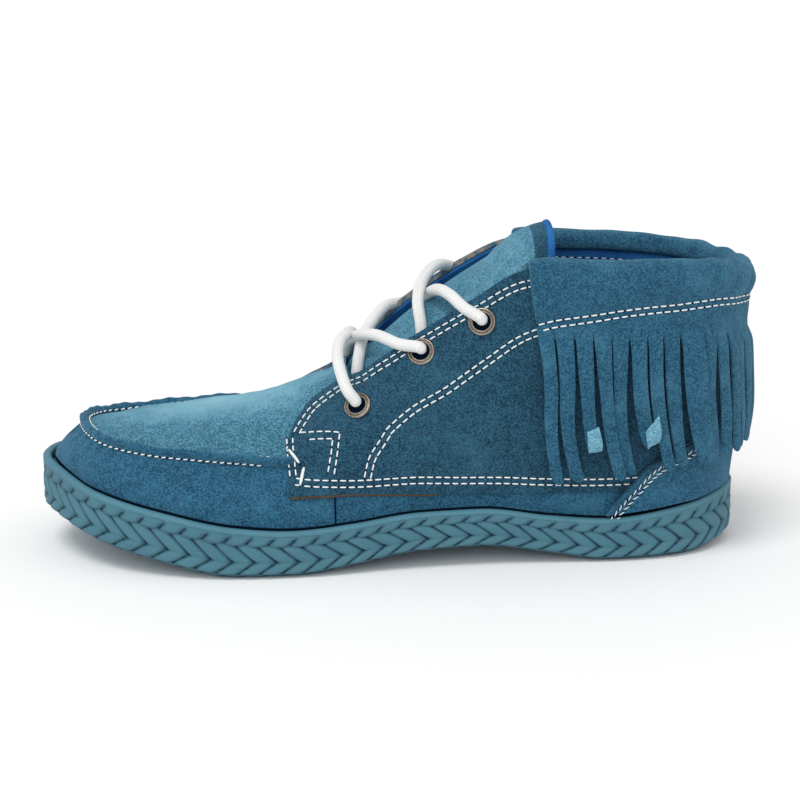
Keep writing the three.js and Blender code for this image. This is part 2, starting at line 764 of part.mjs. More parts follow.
// Hole for the barrel, with a pressed seat for the flange on each face of the quarter.
function eyeletHole(place, side) {
  const reach = 4;
  const radius = EYELET_BARREL + GAP;
  const seat = EYELET_RADIUS + GAP;
  return atEyelet(
    place,
    side,
    [
      [0, -WALL - reach],
      [seat, -WALL - reach],
      [seat, -WALL],
      [radius, -WALL],
      [radius, OVERLAY],
      [seat, OVERLAY],
      [seat, OVERLAY + reach],
      [0, OVERLAY + reach],
    ],
    10,
  );
}

function makeUpper() {
  let upper = upperWall(0, -WALL)
    .add(quarter(outerSide))
    .add(quarter(innerSide))
    .add(counter())
    .add(seamLip());
  for (const place of EYELETS) {
    upper = upper.subtract(eyeletHole(place, outerSide)).subtract(eyeletHole(place, innerSide));
  }
  return upper;
}

// Tongue: a sheet under the quarters' edges that bridges the throat

// Points spaced evenly along a line of points.
function resample(points, count) {
  const lengths = [0];
  points.slice(1).forEach((p, i) => lengths.push(lengths[i] + p.distanceTo(points[i])));
  const total = lengths[lengths.length - 1];
  return Array.from({ length: count }, (_, k) => {
    const wanted = (total * k) / (count - 1);
    let i = 1;
    while (i < lengths.length - 1 && lengths[i] < wanted) i += 1;
    const span = lengths[i] - lengths[i - 1] || 1;
    return points[i - 1].clone().lerp(points[i], (wanted - lengths[i - 1]) / span);
  });
}

const TONGUE_WING = [1.74, 1.84, 1.93, MEET];
const TONGUE_CROWN = 3.5;
const TONGUE_SEWN = 6.5;
const TONGUE_COLUMNS = 9;
const TONGUE_SEAT = WALL + 2 * GAP;
const TONGUE_DEPTH = WALL + EYELET_BACK + TONGUE_ROOM;
const TONGUE_RISE = 0.4;

// One section of the tongue's face, across the throat from the outer side to the inner side.
function tongueSection(j, depth) {
  const wing = (side) => TONGUE_WING.map((v) => upperPoint(side(j), v, -depth));
  const outer = wing(outerSide);
  const inner = wing(innerSide).reverse();
  const [from, to] = [outer[outer.length - 1], inner[0]];
  const width = from.distanceTo(to);
  const lift = facing(j, MEET).add(facing(ROUND - j, MEET)).normalize();
  const bridge = [0.25, 0.5, 0.75].map((t) =>
    from.clone().lerp(to, t).addScaledVector(lift, Math.min(TONGUE_CROWN, width / 4) * Math.sin(Math.PI * t)),
  );
  return resample([...outer, ...bridge, ...inner], TONGUE_COLUMNS);
}

function makeTongue() {
  const stations = [TONGUE_SEWN, 6.8, 7.1, 7.5, 8, 8.6, 9.2, 9.8, 10.4];
  const faces = (depth) => {
    const sections = stations.map((j) => {
      const sunk = THREE.MathUtils.smoothstep(j, TONGUE_SEWN, EYELETS[0].j - 0.5);
      return tongueSection(j, mix(TONGUE_SEAT, TONGUE_DEPTH, sunk) + depth);
    });
    const last = sections[sections.length - 1];
    const before = sections[sections.length - 3];
    const grow = last[4].clone().sub(before[4]).normalize();
    grow.z += TONGUE_RISE;
    grow.normalize();
    for (const share of [0.6, 1]) {
      sections.push(
        last.map((p) => {
          const narrow = 1 - 0.12 * share * share;
          const reach = TONGUE_OVERHANG * share;
          return new THREE.Vector3(p.x, p.y * narrow, p.z).addScaledVector(grow, reach);
        }),
      );
    }
    return sections;
  };
  return sheet(faces(0), faces(TONGUE_THICKNESS));
}

// Cuff: a band folded over the collar, cut into strips below its stitching

const CUFF_START = 11.05;
const FRINGE_STAND = track([0, 0.15, 0.5, 1], [0, 0.5, 0.8, 1]);

// Point beside the collar at a distance from the last and a height above (or below) the collar's edge.
function besideCollar(j, offset, rise) {
  const edge = skin(j, MEET);
  if (rise >= 0) {
    const up = edge.clone().sub(skin(j, MEET - 0.1)).normalize();
    return edge.addScaledVector(facing(j, MEET), offset).addScaledVector(up, rise);
  }
  return upperPoint(j, vAtHeight(j, edge.z + rise), offset);
}

function cuffSection(j) {
  const inside = -WALL - 3 * GAP;
  const outside = OVERLAY + 2 * GAP;
  const back = outside + CUFF_THICKNESS;
  return [
    [inside - CUFF_THICKNESS, -CUFF_INSIDE],
    [inside - CUFF_THICKNESS, -CUFF_INSIDE / 7],
    [inside, CUFF_TOP],
    [(inside + outside) / 2, CUFF_TOP * 1.3],
    [outside + CUFF_ROLL * 0.35, CUFF_TOP * 0.7],
    [outside + CUFF_ROLL * 0.6, -CUFF_ROLL * 0.55],
    [back, -STITCH_DROP],
    [back + CUFF_SWELL, -FRINGE_DROP],
    [outside, -FRINGE_DROP],
    [outside, -FRINGE_DROP / 2],
    [outside, GAP],
    [inside, GAP],
    [inside, -CUFF_INSIDE],
  ].map(([offset, rise]) => besideCollar(j, offset, rise));
}

// Section numbers at even distances along the lower edge of the band.
function evenSections(count) {
  const samples = 240;
  const at = (i) => mix(CUFF_START, ROUND - CUFF_START, i / samples);
  const point = (i) => besideCollar(at(i), OVERLAY, -FRINGE_DROP);
  const lengths = [0];
  for (let i = 1; i <= samples; i += 1) {
    lengths.push(lengths[i - 1] + point(i).distanceTo(point(i - 1)));
  }
  const total = lengths[samples];
  const strips = count || Math.round(total / STRIP_PITCH);
  const sections = Array.from({ length: strips + 1 }, (_, k) => {
    const wanted = (total * k) / strips;
    let i = 1;
    while (i < samples && lengths[i] < wanted) i += 1;
    return at(i - 1 + (wanted - lengths[i - 1]) / (lengths[i] - lengths[i - 1]));
  });
  return { sections, pitch: total / strips };
}

function makeCuff() {
  const { sections, pitch } = evenSections();
  const strips = sections.length - 1;
  const outside = OVERLAY + 2 * GAP;
  const layers = sections.map(cuffSection);
  let cuff = loft(layers);
  for (let k = 0; k < strips; k += 1) {
    const width = sections[k + 1] - sections[k];
    const slit = (STRIP_SLIT / 2 / pitch) * width;
    const toBack = 1 - Math.abs((2 * (k + 0.5)) / strips - 1);
    const heelward = k + 0.5 < strips / 2 ? 1 : -1;
    const drift = heelward * STRIP_DRIFT * (1 - toBack);
    const end = mix(FRINGE_END, FRINGE_END_BACK, toBack) + STRIP_UNEVEN * Math.sin(2.4 * k);
    const stations = [0, 0.15, 0.5, 1].map((t) => {
      const edge = skin(sections[k], MEET).z - FRINGE_DROP + CUFF_THICKNESS;
      const height = mix(edge, end, t);
      const shift = (drift * t * width) / pitch;
      const corner = (j, depth) =>
        upperPoint(j, vAtHeight(j, height), outside + FRINGE_STAND(t) * FRINGE_STAND_OFF + depth);
      const [from, to] = [sections[k] + slit + shift, sections[k + 1] - slit + shift];
      return [
        corner(from, 0),
        corner(to, 0),
        corner(to, CUFF_THICKNESS),
        corner(from, CUFF_THICKNESS),
      ];
    });
    cuff = cuff.add(loft(stations));
  }
  return cuff;
}

// Lace: crossings between the quarters, clear of the tongue and of the eyelets that they end on

const LACE_LIFT = OVERLAY + EYELET_FLANGE + 3 * GAP + LACE_RADIUS;
const LACE_EDGE_LIFT = OVERLAY + 2 * GAP + LACE_RADIUS;
const LACE_BAR = 6.9;
const LACE_CROSSINGS = [
  { name: "lower", eyelet: 1, under: 7.95 },
  { name: "upper", eyelet: 2, under: 9.1 },
];

// Round cord along a smooth line of points.
function cord(points, steps) {
  const path = new THREE.CatmullRomCurve3(points, false, "centripetal");
  const round = new THREE.Shape();
  const sides = 8;
  for (let i = 0; i < sides; i += 1) {
    const a = (TURN * i) / sides;
    const [x, y] = [LACE_RADIUS * Math.cos(a), LACE_RADIUS * Math.sin(a)];
    if (i === 0) round.moveTo(x, y);
    else round.lineTo(x, y);
  }
  const geometry = new THREE.ExtrudeGeometry(round, { steps, extrudePath: path });
  const positions = Array.from(geometry.attributes.position.array);
  return solid(positions, Array.from({ length: positions.length / 3 }, (_, i) => i));
}

// Place over the tongue, across from one side (0) to the other (1).
function overTongue(j, across, lift) {
  const row = tongueSection(j, TONGUE_DEPTH);
  const at = row[Math.round(across * (row.length - 1))].clone();
  const up = facing(j, MEET).add(facing(ROUND - j, MEET)).normalize();
  return at.addScaledVector(up, lift);
}

// One lace from an eyelet over its quarter's edge and the tongue to the far quarter's edge.
function crossing(place, side, under) {
  const farSide = (t) => (side === outerSide ? t : 1 - t);
  const edge = place.j - 0.5;
  return cord(
    [
      upperPoint(side(place.j), place.v, LACE_LIFT),
      upperPoint(side(mix(place.j, edge, 0.5)), 1.92, LACE_LIFT),
      upperPoint(side(edge), MEET, LACE_EDGE_LIFT),
      overTongue(mix(edge, under, 0.6), 0.5, LACE_RADIUS + LACE_ARCH),
      overTongue(under, farSide(0.68), LACE_RADIUS + 2 * GAP),
    ],
    9,
  );
}

function laceCrossing(place, under) {
  return crossing(place, outerSide, under).add(crossing(place, innerSide, under));
}

// The lowest lace goes straight across over the ridge of the vamp.
function laceBar() {
  const { j, v } = EYELETS[0];
  const half = (side) => [
    upperPoint(side(j), v, LACE_LIFT),
    upperPoint(side(mix(j, LACE_BAR, 0.45)), 1.62, LACE_LIFT + 2 * GAP),
    upperPoint(side(mix(j, LACE_BAR, 0.8)), 1.88, LACE_LIFT),
  ];
  const ridge = upperPoint(LACE_BAR, MEET, LACE_EDGE_LIFT);
  return cord([...half(outerSide), ridge, ...half(innerSide).reverse()], 12);
}

const boot = new THREE.Group();
boot.add(piece("outsole", makeSole(), rubber));
boot.add(piece("insole", makeInsole(), lining));
boot.add(piece("upper", makeUpper(), suede));
boot.add(piece("tongue", makeTongue(), suede));
for (const place of EYELETS) {
  boot.add(piece("eyelet_outer_" + place.name, makeEyelet(place, outerSide), steel));
  boot.add(piece("eyelet_inner_" + place.name, makeEyelet(place, innerSide), steel));
}

boot.add(piece("cuff_fringe", makeCuff(), suede));
boot.add(piece("lace_bar", laceBar(), cotton));
for (const { name, eyelet, under } of LACE_CROSSINGS) {
  boot.add(piece("lace_cross_" + name, laceCrossing(EYELETS[eyelet], under), cotton));
}

export default boot;
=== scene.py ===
# Fringe ankle boot, left foot: a moccasin-toe boot in blue suede on a moulded rubber cup sole.
# Metres. The floor is at zero height, the toe points to -X and the outer side of the foot faces -Y.
import math

import bpy
import numpy as np
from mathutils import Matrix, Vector


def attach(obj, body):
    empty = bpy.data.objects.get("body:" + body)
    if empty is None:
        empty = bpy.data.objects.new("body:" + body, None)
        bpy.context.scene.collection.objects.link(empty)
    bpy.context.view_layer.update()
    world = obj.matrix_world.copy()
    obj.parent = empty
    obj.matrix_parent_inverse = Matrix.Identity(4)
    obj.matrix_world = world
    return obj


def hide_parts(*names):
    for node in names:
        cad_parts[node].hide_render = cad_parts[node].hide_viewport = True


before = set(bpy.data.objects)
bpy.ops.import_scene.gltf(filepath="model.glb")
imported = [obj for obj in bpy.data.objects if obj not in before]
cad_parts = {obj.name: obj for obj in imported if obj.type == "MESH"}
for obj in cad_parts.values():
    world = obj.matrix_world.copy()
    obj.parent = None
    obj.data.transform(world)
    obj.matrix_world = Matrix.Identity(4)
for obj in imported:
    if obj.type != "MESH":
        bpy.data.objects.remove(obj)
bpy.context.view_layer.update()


# Camera.
# The boot is seen from its outer side, a little from above and from just behind square on.
camera_aim = Vector((-0.094, 0.0, 0.0545))
camera_turn = math.radians(-3.4)
camera_rise = math.radians(13.7)
camera_reach = 0.8
camera_lens = 94.8
camera_back = Vector(
    (
        math.sin(camera_turn) * math.cos(camera_rise),
        -math.cos(camera_turn) * math.cos(camera_rise),
        math.sin(camera_rise),
    )
)
bpy.ops.object.camera_add(location=camera_aim + camera_back * camera_reach)
camera = bpy.context.object
camera.rotation_euler = (-camera_back).to_track_quat("-Z", "Y").to_euler()
camera.data.sensor_width = 36
camera.data.lens = camera_lens
camera.data.clip_start = 0.05
camera.data.clip_end = 20
bpy.context.scene.camera = camera


# Light and floor.
# A white table in an even, pale room, lit by two broad, soft lamps: one high up and a weaker one low
# down in front, both a little from the toe's side.
table_size = 12
table_drop = 0.0004
room_strength = 0.64


def colour(code):
    """Linear colour of an sRGB hex value."""
    parts = [int(code[i : i + 2], 16) / 255 for i in (1, 3, 5)]
    return [c / 12.92 if c <= 0.04045 else ((c + 0.055) / 1.055) ** 2.4 for c in parts] + [1.0]


def add_node(material, kind, settings=None, links=None, output=0):
    """Adds a shader node with its settings and links, and returns the output that others link to."""
    node = material.node_tree.nodes.new("ShaderNode" + kind)
    for name, value in (settings or {}).items():
        if isinstance(name, str) and hasattr(node, name):
            setattr(node, name, value)
        else:
            node.inputs[name].default_value = value
    for name, source in (links or {}).items():
        material.node_tree.links.new(source, node.inputs[name])
    return node.outputs[output] if len(node.outputs) else None


def new_material(name):
    """A node material without nodes."""
    material = bpy.data.materials.new(name)
    material.use_nodes = True
    material.node_tree.nodes.clear()
    return material


def deselect():
    """Clears the selection before the next operator."""
    for item in bpy.context.selected_objects:
        item.select_set(False)


def mottled_material(name, noise, dark, light, surface, bump=None, contrast=None):
    """A material whose colour wanders between two. bump is the strength and depth of a relief in the
    same pattern, and contrast the part of the noise that spans the two colours."""
    material = new_material(name)
    place = add_node(material, "TexCoord", output="Object")
    fleck = share = add_node(material, "TexNoise", noise, {"Vector": place}, "Fac")
    if contrast:
        share = add_node(material, "MapRange", {"From Min": contrast[0], "From Max": contrast[1]}, {"Value": fleck})
    tone = add_node(material, "Mix", {"data_type": "RGBA", 6: colour(dark), 7: colour(light)}, {0: share}, 2)
    links = {"Base Color": tone}
    if bump:
        links["Normal"] = add_node(material, "Bump", {"Strength": bump[0], "Distance": bump[1]}, {"Height": fleck})
    skin_node = add_node(material, "BsdfPrincipled", surface, links)
    add_node(material, "OutputMaterial", None, {"Surface": skin_node})
    return material


# Matt white paint, a little uneven over half a metre.
white_table = mottled_material(
    "matt_white_table",
    {"Scale": 3.0, "Detail": 2.0},
    "#F4F4F4",
    "#F7F7F7",
    {"Roughness": 0.9, "Specular IOR Level": 0.2},
)

deselect()
bpy.ops.mesh.primitive_plane_add(size=table_size, location=(0, 0, -table_drop))
table = bpy.context.object
table.name = "floor"
bpy.ops.object.transform_apply(location=True, rotation=False, scale=False)
table.data.materials.append(white_table)

room = bpy.data.worlds.new("pale_room")
bpy.context.scene.world = room
room.use_nodes = True
sky = room.node_tree.nodes["Background"]
sky.inputs["Color"].default_value = colour("#FFFFFF")
sky.inputs["Strength"].default_value = room_strength


def broad_light(name, toward, power, spread):
    """A lamp with an even light, shining from a direction and spread over an angle in degrees."""
    bpy.ops.object.light_add(type="SUN", location=Vector(toward).normalized() * 2)
    lamp = bpy.context.object
    lamp.name = name
    lamp.rotation_euler = Vector(toward).to_track_quat("Z", "Y").to_euler()
    lamp.data.energy = power
    lamp.data.angle = math.radians(spread)


broad_light("light_above", (-0.3, -0.4, 1.0), 1.3, 26)
broad_light("light_front", (-0.2, -1.0, 0.55), 0.8, 40)
bpy.context.scene.view_settings.view_transform = "Standard"


# Outsole.
# A one-piece cup sole, moulded in blue-grey rubber. Its side copies a plait of three rows of cord,
# with a plain rim above it, and the sole lifts under the waist and at the toe.
sole_length = 0.264
ball_width = 0.096
collar_height = 0.110
heel_back = 0.034
rim_thickness = 0.0032
rim_depth = 0.007
braid_pitch = 0.008
braid_relief = 0.0015
edge_rounding = 0.0026
rim_roll = 0.0007
tread_pitch = 0.0075
tread_depth = 0.0011
fibre_pitch = 0.7
foot_clearance = 0.0007
gap = 0.0003
half_width = ball_width / 2
full_turn = 2 * math.pi

# Plan: share of the length from the heel's back, and the half widths of the outer and inner side.
sole_plan = [
    (0, 0, 0), (0.03, 0.38, 0.36), (0.08, 0.585, 0.55), (0.16, 0.705, 0.665), (0.26, 0.735, 0.66),
    (0.38, 0.77, 0.625), (0.5, 0.85, 0.67), (0.6, 0.955, 0.79), (0.7, 1.0, 0.905), (0.79, 0.955, 0.955),
    (0.87, 0.81, 0.92), (0.935, 0.565, 0.79), (0.98, 0.235, 0.55), (1, -0.15, 0.15),
]
# Heights: share of the length, the underside and the rim, as shares of the collar's height.
sole_profile = [
    (0, 0.03, 0.215), (0.03, 0.016, 0.2), (0.08, 0, 0.178), (0.2, 0, 0.148), (0.28, 0.03, 0.163),
    (0.38, 0.062, 0.194), (0.46, 0.056, 0.192), (0.56, 0.022, 0.168), (0.64, 0, 0.156), (0.72, 0, 0.17),
    (0.82, 0.04, 0.214), (0.92, 0.09, 0.262), (1, 0.135, 0.315),
]


def hermite(a, b, slope_a, slope_b, span, t):
    """Value at share t of a span between two values with their slopes."""
    return (
        a * (2 * t**3 - 3 * t**2 + 1)
        + b * (3 * t**2 - 2 * t**3)
        + slope_a * span * (t**3 - 2 * t**2 + t)
        + slope_b * span * (t**3 - t**2)
    )


def closed_curve(keys, values, period):
    """A smooth closed curve of one value through its keys."""
    keys, values = np.array(keys, float), np.array(values, float)
    wide_keys = np.concatenate([keys[-1:] - period, keys, keys[:1] + period])
    wide = np.concatenate([values[-1:], values, values[:1]])
    slope = (wide[2:] - wide[:-2]) / (wide_keys[2:] - wide_keys[:-2])

    def at(t):
        t = np.mod(t, period)
        i = np.clip(np.searchsorted(keys, t, side="right") - 1, 0, len(keys) - 1)
        span = wide_keys[i + 2] - wide_keys[i + 1]
        return hermite(values[i], wide[i + 2], slope[i], slope[(i + 1) % len(keys)], span, (t - keys[i]) / span)

    return at


def steady_curve(keys, values):
    """A smooth open curve that never overshoots its values."""
    keys, values = np.array(keys, float), np.array(values, float)
    chord = np.diff(values) / np.diff(keys)
    a, b = chord[:-1], chord[1:]
    total = np.where(a + b == 0, 1, a + b)
    slope = np.concatenate([[0], np.where(a * b <= 0, 0, 2 * a * b / total), [0]])

    def at(t):
        t = np.clip(t, keys[0], keys[-1])
        i = np.clip(np.searchsorted(keys, t, side="right") - 1, 0, len(keys) - 2)
        span = keys[i + 1] - keys[i]
        return hermite(values[i], values[i + 1], slope[i], slope[i + 1], span, (t - keys[i]) / span)

    return at


def turn_of(share):
    """Turn round the outline at which it reaches a share of the sole's length."""
    return math.acos(2 * share - 1)


def along(share):
    """Place lengthwise of a share of the sole's length, from the heel's back."""
    return heel_back - share * sole_length


plan_width = closed_curve(
    [turn_of(r[0]) for r in sole_plan[::-1]] + [full_turn - turn_of(r[0]) for r in sole_plan[1:-1]],
    [-r[1] * half_width for r in sole_plan[::-1]] + [r[2] * half_width for r in sole_plan[1:-1]],
    full_turn,
)


def outline(turn, inset=0.0):
    """Point of the sole's outline, moved in by an inset, and the outward direction there."""

    def point(t):
        return np.stack([along((1 + np.cos(t)) / 2), plan_width(t)], -1)

    tangent = point(turn + 0.01) - point(turn - 0.01)
    tangent /= np.linalg.norm(tangent, axis=-1, keepdims=True)
    outward = np.stack([tangent[..., 1], -tangent[..., 0]], -1)
    return point(turn) - outward * np.asarray(inset)[..., None], outward


under_share = steady_curve([r[0] for r in sole_profile], [r[1] for r in sole_profile])
rim_share = steady_curve([r[0] for r in sole_profile], [r[2] for r in sole_profile])


def sole_under(x):
    """Height of the sole's underside."""
    return under_share((heel_back - x) / sole_length) * collar_height


def sole_rim(x):
    """Height of the cup's rim."""
    return rim_share((heel_back - x) / sole_length) * collar_height


def step(low, high, value):
    """Smooth rise from 0 to 1 between two values."""
    t = np.clip((value - low) / (high - low), 0, 1)
    return t * t * (3 - 2 * t)


def grid_piece(name, columns, rows, shape, material, merge=1e-6):
    """A grid primitive whose points, each way from 0 to 1, are laid where shape puts them. shape may
    add marks, one number at each point by name, which the material reads."""
    deselect()
    bpy.ops.mesh.primitive_grid_add(x_subdivisions=columns, y_subdivisions=rows, size=1, calc_uvs=True)
    piece = bpy.context.object
    piece.name = name
    piece.data.name = name
    flat = np.empty(len(piece.data.vertices) * 3)
    piece.data.vertices.foreach_get("co", flat)
    flat = flat.reshape(-1, 3)
    placed = shape(flat[:, 0] + 0.5, flat[:, 1] + 0.5)
    placed, marks = placed if isinstance(placed, tuple) else (placed, {})
    piece.data.vertices.foreach_set("co", np.ascontiguousarray(placed, dtype=float).ravel())
    for mark, values in marks.items():
        piece.data.attributes.new(mark, "FLOAT", "POINT").data.foreach_set("value", np.asarray(values, np.float32))
    if merge:
        bpy.ops.object.mode_set(mode="EDIT")
        bpy.ops.mesh.select_all(action="SELECT")
        bpy.ops.mesh.remove_doubles(threshold=merge)
        bpy.ops.object.mode_set(mode="OBJECT")
    bpy.ops.object.shade_smooth()
    piece.data.materials.append(material)
    return piece


def face_out(piece):
    """Turns the faces of a closed piece outwards."""
    bpy.context.view_layer.objects.active = piece
    bpy.ops.object.mode_set(mode="EDIT")
    bpy.ops.mesh.select_all(action="SELECT")
    bpy.ops.mesh.normals_make_consistent(inside=False)
    bpy.ops.object.mode_set(mode="OBJECT")


def run_of(points):
    """Length along a line of points up to each of them."""
    return np.concatenate([[0], np.cumsum(np.linalg.norm(np.diff(points, axis=0), axis=1))])


def between(places, run, points):
    """Points at places along a line, whose own points lie at run."""
    return np.stack([np.interp(places, run, column) for column in points.T], -1)


# Turns that split the outline into equal lengths.
fine_turns = np.linspace(0, full_turn, 2881)
fine_points = outline(fine_turns)[0]
fine_run = run_of(fine_points)
outline_run = fine_run[-1]
strand_count = round(outline_run / braid_pitch)


def turn_at_run(share):
    """Turn at a share of the outline's length."""
    return np.interp(np.mod(share, 1.0) * outline_run, fine_run, fine_turns)


# Rows of the plait from the rim down: top and bottom as shares of the side's height, slant in
# pitches over the row, its start in pitches, and how far the row stands out.
plait_rows = [
    (0.02, 0.33, -0.62, 0.2, 0.86),
    (0.25, 0.71, 1.2, 0.0, 1.0),
    (0.6, 0.97, -1.15, 1.0, 0.94),
    (0.88, 1.12, 0.8, 0.1, 0.7),
]


def plait(run, depth):
    """Height of the plait from 0 to 1, and the distance across its strands in millimetres."""
    height = np.zeros_like(run)
    fibre = np.zeros_like(run)
    for number, (top, bottom, slant, start, crest) in enumerate(plait_rows):
        v = (depth - top) / (bottom - top)
        u = np.mod(run * strand_count - start - slant * (v - 0.5), 1.0)
        across = np.abs(2 * np.power(u, 0.85) - 1)
        rounding = np.abs(2 * v - 1)
        if number == 0:
            rounding = np.clip(2 * v - 1, 0, 2)
            across = across * step(0.0, 0.45, v)
        inside = 1 - across**3.2 - rounding**3.2
        dome = crest * np.sqrt(np.clip(inside, 0, 1))
        dome = np.where((v > -0.2) & (v < 1.2), dome, 0)
        fibre = np.where(dome > height, u * braid_pitch * 1000 / (1 + 0.4 * abs(slant)), fibre)
        height = np.maximum(height, dome)
    band = 0.9 * (1 - step(0.05, 0.11, depth))
    fibre = np.where(band > height, 0, fibre)
    return np.maximum(height, band), fibre


sole_levels = np.concatenate(
    [
        [0.0, 0.5, 1.0],
        1 + np.linspace(0, 1, 4)[1:],
        2 + np.linspace(0, 1, 6)[1:],
        3 + np.linspace(0, 1, 41)[1:],
        4 + np.linspace(0, 1, 24)[1:],
    ]
)


def sole_point(a, b):
    """Point of the sole, round the outline and from the cup's floor over the rim and down to the tread."""
    turn = turn_at_run(a)
    level = np.interp(b, np.linspace(0, 1, len(sole_levels)), sole_levels)
    x = outline(turn)[0][:, 0]
    rim, under = sole_rim(x), sole_under(x)
    depth = np.clip(level - 3, 0, 1)
    raised, fibre = plait(a, depth)
    # Side: the relief and the rounded lower edge.
    lower = edge_rounding * step(0.86, 1.0, depth) ** 1.5
    side_inset = braid_relief * (1 - raised) + lower
    # Rim's top, from its inner edge to the side.
    over = np.clip(level - 2, 0, 1)
    rim_inset = rim_thickness * (1 - over) + braid_relief * 0.1 * over
    rim_lift = -rim_roll * np.clip(over - 0.6, 0, 1) ** 2 / 0.16 - 0.0004 * np.clip(0.25 - over, 0, 1) / 0.25
    # Underside, drawn in to the sole's middle line.
    inward = np.clip(level - 4, 0, 1)
    inset = np.where(level <= 2, rim_thickness, np.where(level <= 3, rim_inset, side_inset))
    at = outline(turn, inset)[0]
    floor = rim - rim_depth
    height = np.where(level <= 1, floor, floor + (rim - floor) * np.clip(level - 1, 0, 1))
    height = np.where(level > 2, rim + rim_lift, height)
    top_of_side = rim - rim_roll
    height = np.where(level > 3, top_of_side + (under - top_of_side) * depth, height)
    middle = (plan_width(turn) + plan_width(full_turn - turn)) / 2
    cup = np.clip(level, 0, 1)
    y = np.where(level < 1, middle + (at[:, 1] - middle) * cup, at[:, 1])
    y = np.where(level > 4, y + (middle - y) * inward, y)
    # Tread: chevron grooves inside a plain border.
    border = np.minimum(inward * 6, 1) * (inward > 0.12)
    chevron = np.mod((at[:, 0] + 0.45 * np.abs(y - middle)) / tread_pitch, 1.0)
    groove = step(0.28, 0.36, chevron) * (1 - step(0.64, 0.72, chevron))
    height = height + np.where(level > 4, tread_depth * groove * border, 0)
    in_plait = (level > 3) & (level <= 4)
    # In the tread the grooves get a lower raised mark, which the rubber turns into painted shade.
    raised = np.where(in_plait, raised, np.where(level > 4, 0.9 - 0.6 * groove * border, 0.95))
    return np.stack([at[:, 0], y, height], -1), {"raised": raised, "fibre": np.where(in_plait, fibre, 0.0)}


# Moulded rubber: matt, with painted shade that darkens the creases and leaves the crests lighter. The cord's fibres
# are 0.7 mm apart, coarser than life so that they show.
rubber = new_material("moulded_rubber")
rubber_place = add_node(rubber, "TexCoord", output="Object")
rubber_raised = add_node(rubber, "Attribute", {"attribute_name": "raised"}, output="Fac")
rubber_fibre = add_node(rubber, "Attribute", {"attribute_name": "fibre"}, output="Fac")
rubber_cloud = add_node(
    rubber, "TexNoise", {"Scale": 55.0, "Detail": 5.0, "Roughness": 0.6}, {"Vector": rubber_place}, "Fac"
)
rubber_crest = add_node(rubber, "MapRange", {"From Min": 0.25, "From Max": 0.85}, {"Value": rubber_raised})
rubber_tone = add_node(
    rubber, "Mix", {"data_type": "RGBA", 6: colour("#3E6F82"), 7: colour("#538695")}, {0: rubber_cloud}, 2
)
# Painted shade: dark rubber where the mark raised is low, in the plait's creases and the tread's grooves.
rubber_crease_painted_shade = add_node(
    rubber, "Mix", {"data_type": "RGBA", 6: colour("#16394E")}, {0: rubber_crest, 7: rubber_tone}, 2
)
rubber_phase = add_node(rubber, "Math", {"operation": "MULTIPLY", 1: full_turn / fibre_pitch}, {0: rubber_fibre})
rubber_wave = add_node(rubber, "Math", {"operation": "SINE"}, {0: rubber_phase})
rubber_dust = add_node(rubber, "TexNoise", {"Scale": 2200.0, "Detail": 2.0}, {"Vector": rubber_place}, "Fac")
rubber_relief = add_node(rubber, "Math", {"operation": "MULTIPLY_ADD", 1: 0.5}, {0: rubber_wave, 2: rubber_dust})
rubber_bump = add_node(rubber, "Bump", {"Strength": 0.6, "Distance": 0.0005}, {"Height": rubber_relief})
rubber_skin = add_node(
    rubber,
    "BsdfPrincipled",
    {"Roughness": 0.62, "Specular IOR Level": 0.35, "IOR": 1.52},
    {"Base Color": rubber_crease_painted_shade, "Normal": rubber_bump},
)
add_node(rubber, "OutputMaterial", None, {"Surface": rubber_skin})

outsole = grid_piece("cup_sole", 1120, len(sole_levels) - 1, sole_point, rubber, merge=2e-6)
face_out(outsole)
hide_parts("outsole")
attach(outsole, "root")


# Vamp wall.
# The suede wall that rises from the sole all round the foot, lasted and cemented into the cup. At
# the toe it is gathered up to the apron, and it has a butt seam just behind the ball of the foot.
wall = 0.002
overlay = 0.0014
foot_lean = 90.0
fullness = 0.42
meet = 2.0
throat_row = 7
suede_unevenness = 0.0004
pucker_depth = 0.00035

